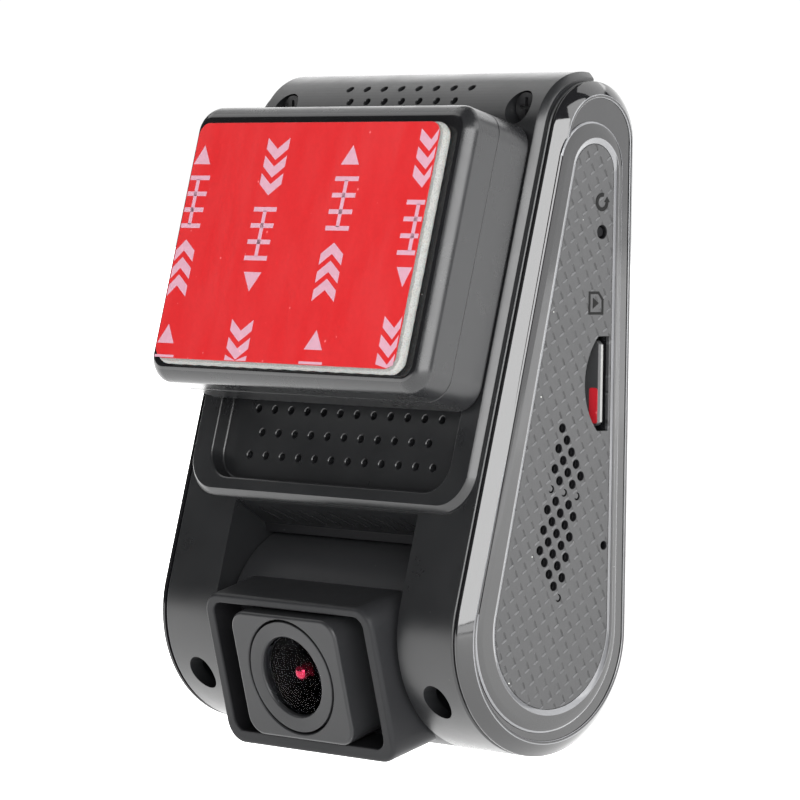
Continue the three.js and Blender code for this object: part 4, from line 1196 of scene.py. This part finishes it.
class DASHCAM_OT_lens_unit(bpy.types.Operator):
    """Drum and hood, plate, ring, glasses and baffle of the lens"""
    bl_idname = "dashcam.lens_unit"
    bl_label = "Lens Unit"

    def execute(self, context):
        drum = rod("lens_drum_moulding", (0, 0), DRUM_RADIUS, -DRUM_HALF, DRUM_HALF, HINGE, 0.35, 128)
        shaped(drum, ("add", skin("hood", hood_rings(), LENS)))
        for side in (-1, 1):
            near, far = beside(side, DRUM_HALF - 1, 20.2)
            shaped(drum, ("add", rod("trunnion", (0, 0), TRUNNION_RADIUS, near, far, HINGE, 0.2)))
        mouth = rounded(-MOUTH_HALF, MOUTH_HALF, *MOUTH_LIMITS, 1.6, 12)
        pairs = [(0.0, HOOD_FLOOR), (0.0, HOOD_FRONT - 0.25), (-0.07, HOOD_FRONT - 0.07),
                 (-0.25, HOOD_FRONT), (-0.25, 20)]
        shaped(drum, ("cut", rod("hollow", (0, 0), DRUM_RADIUS - DRUM_WALL, -15.6, 15.6, HINGE, count=96)),
               ("cut", prism("mouth", mouth, pairs, LENS)),
               ("cut", rod("throat", (0, 0), 6.3, 3, 14, LENS, count=64)),
               ("cut", rod("cable way", (0, 0), 1.6, -25, 25, HINGE)))
        for side in (-1, 1):
            near, far = beside(side, 16.6, 18)
            pairs = [(TRUNNION_RADIUS, near), (WASHER_RADIUS, near),
                     (WASHER_RADIUS, far), (TRUNNION_RADIUS, far)]
            shaped(drum, ("cut", turned("washer", pairs, HINGE, 48)))
        shaped(drum, ("cut", hatch_slab("hatch gap", 0.15)))
        fitted(drum, finish("lens_body"), "lens_unit", ("lens_drum",), 27)
        # Painted shade: the walls and floor inside the hood mouth get the matt black finish.
        x, y, z = face_middles(drum, LENS).T
        inside = (np.abs(x) < MOUTH_HALF + 0.15) & between(y, MOUTH_LIMITS[0] - 0.16, MOUTH_LIMITS[1] + 0.16)
        painted(drum, "black_and_painted_shade", inside & between(z, HOOD_FLOOR - 0.1, HOOD_FRONT - 0.2))
        fitted(hatch_slab("drum_hatch_moulding", 0.0), finish("lens_body"), "lens_unit",
               ("drum_hatch",), 27, 0.1)

        edge = sizes().plate_edge / MM
        plate = prism("lens_plate_moulding", rounded(-10, 10, -8.7, 8.4, 2.6, 14),
                      wall(HOOD_FLOOR + 0.3, PLATE_FRONT, 0, edge, 5), LENS)
        bore = countersunk(10, PLATE_FRONT, 0.12)
        shaped(plate, ("cut", prism("bore", circle((0, 0), PLATE_BORE, 96), bore, LENS)))
        fitted(plate, finish("lens_plate"), "lens_unit", ("lens_plate",), 27)

        ring = turned("lens_ring_turned", [
            (RING_BORE, 15.4), (RING_RADIUS, 15.4), (RING_RADIUS, 18.46), (RING_RADIUS - 0.04, 18.56),
            (RING_RADIUS - 0.14, 18.6), (RING_BORE + 0.27, 18.5), (RING_BORE + 0.15, 18.44),
            (RING_BORE + 0.05, 18.3), (RING_BORE, 18.15),
        ], LENS, 96)
        fitted(ring, finish("lens_plate"), "lens_unit", ("lens_ring",), 40)

        dome = np.linspace(0, 1, 12)
        front = np.stack([GLASS_RADIUS * (1 - dome), 17.85 + 0.75 * (1 - (1 - dome) ** 2)], 1)
        back = np.stack([GLASS_RADIUS * dome, 17.2 + 0.45 * (1 - dome ** 2)], 1)
        glass = turned("front_glass_turned", np.concatenate([back, front]), LENS, 96, loop=False)
        fitted(glass, finish("lens_glass"), "lens_unit", ("front_glass",), 50)
        steps = np.repeat(np.linspace(5.3, 1.3, 10), 2)
        levels = np.linspace(16.9, 15.3, 10)
        levels = np.stack([levels, levels - 0.06], 1).reshape(-1)
        outline = np.concatenate([np.stack([steps, levels], 1), [(1.1, 15.2), (1.1, 15.0), (5.3, 15.0)]])
        baffle = turned("lens_baffle", outline, LENS, 72)
        fitted(baffle, finish("void"), "lens_unit", (), 30)
        angle = np.linspace(0, math.pi / 2, 12)
        top = np.stack([np.cos(angle), 16.5 + 0.75 * np.sin(angle)], 1)
        outline = np.concatenate([[(0.0, 12.8), (4.45, 13.4), (4.45, 14.4), (1.0, 14.5)], top])
        inner = turned("inner_lens_turned", outline, LENS, 72, loop=False)
        fitted(inner, finish("inner_glass"), "lens_unit", ("inner_lens",), 30)
        return {"FINISHED"}


def hatch_slab(name, clearance):
    """A curved plate: the part of a tube about the hinge between two levels behind the drum."""
    radius, inner = DRUM_RADIUS + clearance, DRUM_RADIUS - DRUM_WALL - clearance
    half, high = 13 + clearance, 9 + clearance
    tube = turned(name, [(inner, -half), (radius, -half), (radius, half), (inner, half)], HINGE, 160)
    limit = block("limit", -20, 20, -high, high, -20, -5, LENS)
    return shaped(tube, ("keep", limit))


# ------------------------------------------------------------------ mount

mount_outline = rounded(-MOUNT_HALF, MOUNT_HALF, MOUNT_BOTTOM, MOUNT_TOP, 3.6, 14)


def mount_hollow(start, end):
    """The space inside the walls of the mount block, between two levels."""
    return prism("hollow", lambda inset=0.0: mount_outline(MOUNT_WALL + inset), [(0, start), (0, end)], FRONT)


class DASHCAM_OT_mount_block(bpy.types.Operator):
    """The two mouldings of the mount block, with its foot"""
    bl_idname = "dashcam.mount_block"
    bl_label = "Mount Block"

    def execute(self, context):
        edge = sizes().mount_edge / MM
        pairs = wall(MOUNT_SEAM + SEAM_GAP, MOUNT_FRONT, 0.12, edge, 8, 1.55)
        cover = prism("mount_cover_moulding", mount_outline, pairs, FRONT)
        shaped(cover, ("cut", mount_hollow(0, MOUNT_FRONT - 1.8)))
        fitted(cover, finish("mount"), "mount", ("mount_cover",), 27)
        painted(cover, "mount_face", face_middles(cover, FRONT)[:, 2] > MOUNT_FRONT - 0.2)

        pairs = wall(MOUNT_BACK, MOUNT_SEAM - SEAM_GAP, 0.5, 0.12, 4)
        tray = prism("mount_base_moulding", mount_outline, pairs, FRONT)
        foot = prism("foot", rounded(-RAIL_INNER + 0.4, RAIL_INNER - 0.4, 54, POCKET_TOP - 0.3, 3.5, 8),
                     wall(-0.72, MOUNT_BACK + 0.2, 0.2, 0, 2), FRONT)
        tongues = block("tongues", -POCKET_HALF + 0.4, POCKET_HALF - 0.4, 54, 74, -0.72, 0.0, FRONT)
        pins = block("pins", -5.6, 5.6, 73.6, 78.8, -2, 5, FRONT)
        shaped(tray, ("cut", mount_hollow(MOUNT_BACK + 2, 20)),
               ("add", foot), ("add", tongues), ("cut", pins))
        fitted(tray, finish("mount"), "mount", ("mount_base",), 27)
        return {"FINISHED"}


class DASHCAM_OT_adhesive_pad(bpy.types.Operator):
    """Foam pad, its release film and the marks printed on the film"""
    bl_idname = "dashcam.adhesive_pad"
    bl_label = "Adhesive Pad"

    def execute(self, context):
        bottom, top = PAD_CENTRE - PAD_HEIGHT / 2, PAD_CENTRE + PAD_HEIGHT / 2
        outline = rounded(-PAD_WIDTH / 2, PAD_WIDTH / 2, bottom, top, 1.9, 12)
        low, high = MOUNT_FRONT + 0.05, PAD_FACE - LINER - 0.05
        rise = np.linspace(0, 1, 9)
        bulge = sizes().pad_bulge / MM
        insets = -0.02 - (bulge + 0.12) * np.sin(rise * math.pi) ** 0.7
        rings = []
        for inset, share in zip(insets, rise):
            flat = evened(outline(inset))
            away = flat - np.array([0, PAD_CENTRE])
            away /= np.linalg.norm(away, axis=1, keepdims=True)
            ripple = 0.06 * np.sin(flat[:, :1] * 2.3 + share * 5) * np.sin(flat[:, 1:] * 3.1 - share * 7)
            level = np.full(len(flat), low + (high - low) * share)
            rings.append(np.column_stack([flat + away * ripple + PAD_SHIFT, level]))
        pad = skin("foam_pad", rings, FRONT)
        fitted(pad, finish("foam"), "mount", ("adhesive_pad",), 40)

        pairs = wall(PAD_FACE - LINER, PAD_FACE, 0.03, 0.03, 2)
        sheet = prism("release_film", lambda inset=0.0: outline(inset + 0.1), pairs, FRONT)
        fitted(sheet, finish("liner"), "mount", ("release_liner",), 40)
        fitted(liner_marks(), finish("print"), "mount")
        return {"FINISHED"}


def evened(flat, count=320):
    """A closed outline as evenly spaced points, by straight interpolation along its length."""
    closed = np.vstack([flat, flat[:1]])
    run = np.concatenate([[0], np.cumsum(np.linalg.norm(np.diff(closed, axis=0), axis=1))])
    at = np.linspace(0, run[-1], count, endpoint=False)
    return np.stack([np.interp(at, run, closed[:, 0]), np.interp(at, run, closed[:, 1])], 1)


def liner_marks():
    """Columns of peel marks, every other one upside down. The points of each shape are held within the
    edges of the film, and a shape is left out where less than 0.1 mm of it stays."""
    made = []
    low = np.array([-PAD_WIDTH / 2 + 0.25, PAD_CENTRE - PAD_HEIGHT / 2 + 0.2])
    high = np.array([PAD_WIDTH / 2 - 0.25, PAD_CENTRE + PAD_HEIGHT / 2 - 0.2])
    levels = [(0, PAD_FACE - 0.006), (0, PAD_FACE + 0.008)]
    for x, foot, way in ((-21.2, 56.4, 1), (-6.8, 78.2, -1), (7.6, 56.4, 1), (21.7, 79.4, -1)):
        for start in (foot - MARK_PITCH * way, foot, foot + MARK_PITCH * way):
            for shape in mark_shapes():
                points = np.clip(np.array(shape, float) * way + np.array([x, start]), low, high)
                if np.ptp(points, axis=0).min() >= 0.1:
                    made.append(prism("mark", flat_outline(points), levels, FRONT))
    return joined("liner_marks", made)


def mark_shapes():
    """One peel mark, drawn upwards from its foot: chevrons, then an outlined arrow of slim strokes."""
    chevrons = [[(-2.1, y), (0, y + 1.5), (2.1, y), (2.1, y + 1.5), (0, y + 3.0), (-2.1, y + 1.5)]
                for y in (0.0, 2.4, 4.8)]
    bars = [[(-2.2, y), (2.2, y), (2.2, y + 0.62), (-2.2, y + 0.62)] for y in (9.4, 11.6, 13.8, 16.0)]
    spine = [[(-0.33, 9.9), (0.33, 9.9), (0.33, 16.1), (-0.33, 16.1)]]
    head = [[(-1.7, 18.2), (1.7, 18.2), (0, 20.8)]]
    return chevrons + bars + spine + head


# ------------------------------------------------------------------ card, screen and buttons

class DASHCAM_OT_memory_card(bpy.types.Operator):
    """Memory card with its pale edge and plain label"""
    bl_idname = "dashcam.memory_card"
    bl_label = "Memory Card"

    def execute(self, context):
        inner, outer, low, high = CARD_INNER, CARD_OUTER, CARD_Z - CARD_HALF, CARD_Z + CARD_HALF
        outline = flat_outline([
            (inner, low), (outer - 0.4, low), (outer, low + 0.4), (outer, high - 0.4), (outer - 0.4, high),
            (inner + 6, high), (inner + 5, high - 0.9), (inner, high - 0.9),
        ])
        face = -CARD_Y - CARD_THICKNESS / 2
        back = face + CARD_THICKNESS
        card = prism("memory_card_moulding", outline, [(0, face), (0, back)], REAR_FACE)
        fitted(card, finish("card"), "card", ("memory_card",), 30, 0.08)
        rib = block("card_grip", outer - 0.9, outer + 0.03, low + 0.45, high - 0.45,
                    face - 0.1, face + 0.35, REAR_FACE, 0.08)
        fitted(rib, finish("card_edge"), "card", (), 40)
        label = rounded(outer - 1.5, outer - 0.05, low + 0.3, CARD_Z - 0.6, 0.3, 4)
        sticker = prism("card_label", label, [(0, back - 0.01), (0, back + 0.03)], REAR_FACE)
        fitted(sticker, finish("card_label"), "card")
        return {"FINISHED"}


class DASHCAM_OT_screen_and_buttons(bpy.types.Operator):
    """Screen window and five buttons with plain symbols"""
    bl_idname = "dashcam.screen_and_buttons"
    bl_label = "Screen and Buttons"

    def execute(self, context):
        gap = 0.15
        outline = rounded(-SCREEN_HALF + gap, SCREEN_HALF - gap, SCREEN_LOW + gap, SCREEN_HIGH - gap, 0.6, 6)
        window = prism("display_window_glass", outline, wall(0.05, 0.8, 0.18, 0.05, 3), REAR_FACE)
        fitted(window, finish("glass"), "casing", ("display_window",), 40)
        for number, x in enumerate(button_places(), 1):
            cap = rounded(x - 3, x + 3, BUTTON_Z - 1.7, BUTTON_Z + 1.7, 0.75, 8)
            pairs = [(0.95, -0.42), (0.6, -0.5), (0.4, -0.55), (0.2, -0.5), (0.06, -0.38), (0.0, -0.2),
                     (0.0, 2.6)]
            made = prism(f"button_{number}_cap", cap, pairs, REAR_FACE)
            flange = block("flange", x - 3.9, x + 3.9, BUTTON_Z - 2.4, BUTTON_Z + 2.4, 2.3, 3.3, REAR_FACE)
            shaped(made, ("add", flange))
            fitted(made, finish("button"), f"key_{number}", (f"button_{number}",), 35)
            fitted(button_symbol(number, x), finish("pale_mark"), f"key_{number}")
        return {"FINISHED"}


def button_symbol(number, x):
    """A plain sign on a cap: an open ring, three bars, a dot, or a triangle that points sideways or up."""
    centre = np.array([x, BUTTON_Z])
    levels = [(0, -0.432), (0, -0.405)]

    def patch(points):
        return prism("patch", flat_outline(np.array(points, float) + centre), levels, REAR_FACE)

    if number == 1:
        start, end = 0.9, 2 * math.pi + 0.55
        outer, inner = arc((0, 0), 0.62, start, end, 36), arc((0, 0), 0.42, end, start, 36)
        parts = [patch(np.concatenate([outer, inner]))]
    elif number == 2:
        parts = [patch([(-0.7, y), (0.7, y), (0.7, y + 0.18), (-0.7, y + 0.18)])
                 for y in (-0.55, -0.09, 0.37)]
    elif number == 3:
        parts = [patch(arc((0, 0), 0.5, 0, 2 * math.pi, 33)[:-1])]
    elif number == 4:
        parts = [patch([(-0.45, -0.6), (0.6, 0), (-0.45, 0.6)])]
    else:
        parts = [patch([(-0.6, -0.45), (0.6, -0.45), (0.0, 0.6)])]
    return joined(f"button_{number}_symbol", parts)


# ------------------------------------------------------------------ finishes of the parts carried over

CARRIED = {
    "main_board": "board", "key_board": "board", "sensor_board": "board", "position_board": "board",
    "heat_spreader": "aluminium", "supercapacitor_1": "sleeve", "supercapacitor_2": "sleeve",
    "display_panel": "dark_plastic", "speaker": "dark_plastic", "microphone": "steel",
    "card_socket": "steel", "power_socket": "steel", "reset_button": "black_and_painted_shade",
    "case_screw_1": "black_steel", "case_screw_2": "black_steel", "case_screw_3": "black_steel",
    "case_screw_4": "black_steel", "mount_screw_1": "steel", "mount_screw_2": "steel",
    "mount_screw_3": "steel", "mount_screw_4": "steel", "contact_plate": "gold", "pin_block": "gold",
    "status_light_1": "light_pipe", "status_light_2": "light_pipe", "status_light_3": "light_pipe",
    "lens_cell": "black_and_painted_shade", "lens_holder": "black_and_painted_shade", "infrared_filter": "filter_glass",
    "image_sensor": "ceramic", "friction_washer_left": "rubber", "friction_washer_right": "rubber",
    "position_antenna": "ceramic",
}


class DASHCAM_OT_inner_parts(bpy.types.Operator):
    """Finishes for the electronics, screws, washers and other parts that keep their shape"""
    bl_idname = "dashcam.inner_parts"
    bl_label = "Inner Parts"

    def execute(self, context):
        for node, name in CARRIED.items():
            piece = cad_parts[node]
            for place in piece.material_slots:
                place.material = finish(name)
            if not piece.material_slots:
                raise RuntimeError(f"{node} has no material slot")
        return {"FINISHED"}


# ------------------------------------------------------------------ stage

# Name, azimuth and elevation in degrees, distance, width and height in metres, setting, and share of it.
PANELS = (
    ("Key softbox", (55, 17), 0.9, 0.8, 0.42, "key_light", 1.0),
    ("Key softbox foot", (55, 0.8), 0.94, 0.84, 0.08, "key_light", 0.55),
    ("Side panel", (134, 14), 0.9, 0.75, 0.75, "side_light", 1.0),
    ("Overhead panel", (160, 52), 0.9, 0.7, 0.5, "side_light", 1.0),
    ("Edge panel", (98, 32), 0.9, 0.5, 0.5, "edge_light", 1.0),
    ("Back panel", (208, 18), 1.2, 1.6, 1.1, "back_light", 1.0),
    ("Top panel", (-80, 50), 0.9, 0.8, 0.7, "top_light", 1.0),
)
FLOOR_CLEARANCE = 0.0002
CAMERA_PLACE = (417.51, -385.58, 3.89)
CAMERA_AZIMUTH = math.radians(45.86)
CAMERA_ELEVATION = math.radians(2.44)
CAMERA_ROLL = math.radians(-0.81)
SKY_SEEN = 1.05
SKY_AROUND = 0.1


def direction(azimuth, elevation):
    """The unit vector that points to an azimuth, counted from the front over the right, and an elevation."""
    level = math.cos(elevation)
    return np.array([math.sin(azimuth) * level, -math.cos(azimuth) * level, math.sin(elevation)])


def softbox(name, angles, distance, width, height, level, target):
    """A rectangular light that looks at the target from a direction given by azimuth and elevation. Its
    power is its level of brightness times pi times its area."""
    away = direction(*(math.radians(a) for a in angles))
    light = bpy.data.lights.new(name, "AREA")
    light.shape = "RECTANGLE"
    light.size, light.size_y = width, height
    light.energy = level * math.pi * width * height
    holder = bpy.data.objects.new(name, light)
    bpy.context.scene.collection.objects.link(holder)
    aim(holder, np.array(target) + away * distance, -away)
    holder.visible_camera = False
    return holder


def aim(holder, location, forward, roll=0.0):
    """Places an object that looks along `forward`, with its top up and then rolled about its view."""
    forward = np.array(forward) / np.linalg.norm(forward)
    right = np.cross(forward, (0, 0, 1))
    right /= np.linalg.norm(right)
    up = np.cross(right, forward)
    c, s = math.cos(roll), math.sin(roll)
    right, up = c * right - s * up, s * right + c * up
    rows = np.column_stack([right, up, -forward, location]).tolist()
    holder.matrix_world = Matrix(rows + [[0, 0, 0, 1]])


class DASHCAM_OT_stage(bpy.types.Operator):
    """Pale floor, soft lights and the camera"""
    bl_idname = "dashcam.stage"
    bl_label = "Stage"

    def execute(self, context):
        settings = context.scene.dash_camera_stage
        low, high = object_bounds()
        centre = tuple((low + high) / 2)
        half = settings.floor_half
        mesh = bpy.data.meshes.new("floor")
        level = low[2] - FLOOR_CLEARANCE
        corners = [(-half, -half, level), (half, -half, level), (half, half, level), (-half, half, level)]
        mesh.from_pydata(corners, [], [(0, 1, 2, 3)])
        floor = linked("floor", mesh)
        made = Finish(
            "Pale floor", Roughness=0.7, Emission_Color=(1, 1, 1, 1), Emission_Strength=settings.floor_glow)
        pale = settings.floor_shade
        made.colour(made.mix(made.noise(60.0, 3.0), shade(pale, 0.98), shade(pale, 1.0)))
        floor.data.materials.append(made.material)
        floor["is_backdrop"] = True

        for name, angles, distance, width, height, setting, share in PANELS:
            softbox(name, angles, distance, width, height, getattr(settings, setting) * share, centre)

        world = bpy.data.worlds.new("Studio")
        context.scene.world = world
        world.use_nodes = True
        nodes, links = world.node_tree.nodes, world.node_tree.links
        nodes.clear()
        output = nodes.new("ShaderNodeOutputWorld")
        seen, around = nodes.new("ShaderNodeBackground"), nodes.new("ShaderNodeBackground")
        for background, strength in ((seen, SKY_SEEN), (around, SKY_AROUND)):
            background.inputs["Color"].default_value = (1, 1, 1, 1)
            background.inputs["Strength"].default_value = strength
        path, mixer = nodes.new("ShaderNodeLightPath"), nodes.new("ShaderNodeMixShader")
        links.new(path.outputs["Is Camera Ray"], mixer.inputs[0])
        links.new(around.outputs[0], mixer.inputs[1])
        links.new(seen.outputs[0], mixer.inputs[2])
        links.new(mixer.outputs[0], output.inputs[0])

        lens = bpy.data.cameras.new("Camera")
        lens.lens = settings.focal_length
        lens.sensor_width = 36.0
        lens.clip_start, lens.clip_end = 0.05, 40.0
        camera = bpy.data.objects.new("Camera", lens)
        context.scene.collection.objects.link(camera)
        aim(camera, np.array(CAMERA_PLACE) * MM, -direction(CAMERA_AZIMUTH, CAMERA_ELEVATION), CAMERA_ROLL)
        context.scene.camera = camera
        context.scene.view_settings.view_transform = "Standard"
        return {"FINISHED"}


# ------------------------------------------------------------------ panel and registration

STEPS = (
    "front_shell", "rear_shell", "side_covers", "side_inlays", "lens_unit", "mount_block", "adhesive_pad",
    "memory_card", "screen_and_buttons", "inner_parts", "stage",
)


class DASHCAM_PT_panel(bpy.types.Panel):
    """Lists the pieces of the dash camera and their settings"""
    bl_label = "Dash Camera"
    bl_idname = "DASHCAM_PT_panel"
    bl_space_type = "VIEW_3D"
    bl_region_type = "UI"
    bl_category = "Dash Camera"

    def draw(self, context):
        for step in STEPS:
            self.layout.operator(f"dashcam.{step}")
        for group in ("dash_camera_sizes", "dash_camera_colours", "dash_camera_stage"):
            settings = getattr(context.scene, group)
            box = self.layout.box()
            for name in settings.__annotations__:
                box.prop(settings, name)


GROUPS = {
    "dash_camera_sizes": DashCameraSizes,
    "dash_camera_colours": DashCameraColours,
    "dash_camera_stage": DashCameraStage,
}
CLASSES = (
    DashCameraSizes, DashCameraColours, DashCameraStage,
    DASHCAM_OT_front_shell, DASHCAM_OT_rear_shell, DASHCAM_OT_side_covers, DASHCAM_OT_side_inlays,
    DASHCAM_OT_lens_unit, DASHCAM_OT_mount_block, DASHCAM_OT_adhesive_pad, DASHCAM_OT_memory_card,
    DASHCAM_OT_screen_and_buttons, DASHCAM_OT_inner_parts, DASHCAM_OT_stage, DASHCAM_PT_panel,
)


def register():
    for item in CLASSES:
        bpy.utils.register_class(item)
    for name, group in GROUPS.items():
        setattr(bpy.types.Scene, name, PointerProperty(type=group))


def unregister():
    for name in GROUPS:
        delattr(bpy.types.Scene, name)
    for item in reversed(CLASSES):
        bpy.utils.unregister_class(item)


def main():
    """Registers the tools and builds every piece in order."""
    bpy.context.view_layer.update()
    register()
    for step in STEPS:
        getattr(bpy.ops.dashcam, step)()


if __name__ == "__main__":
    main()
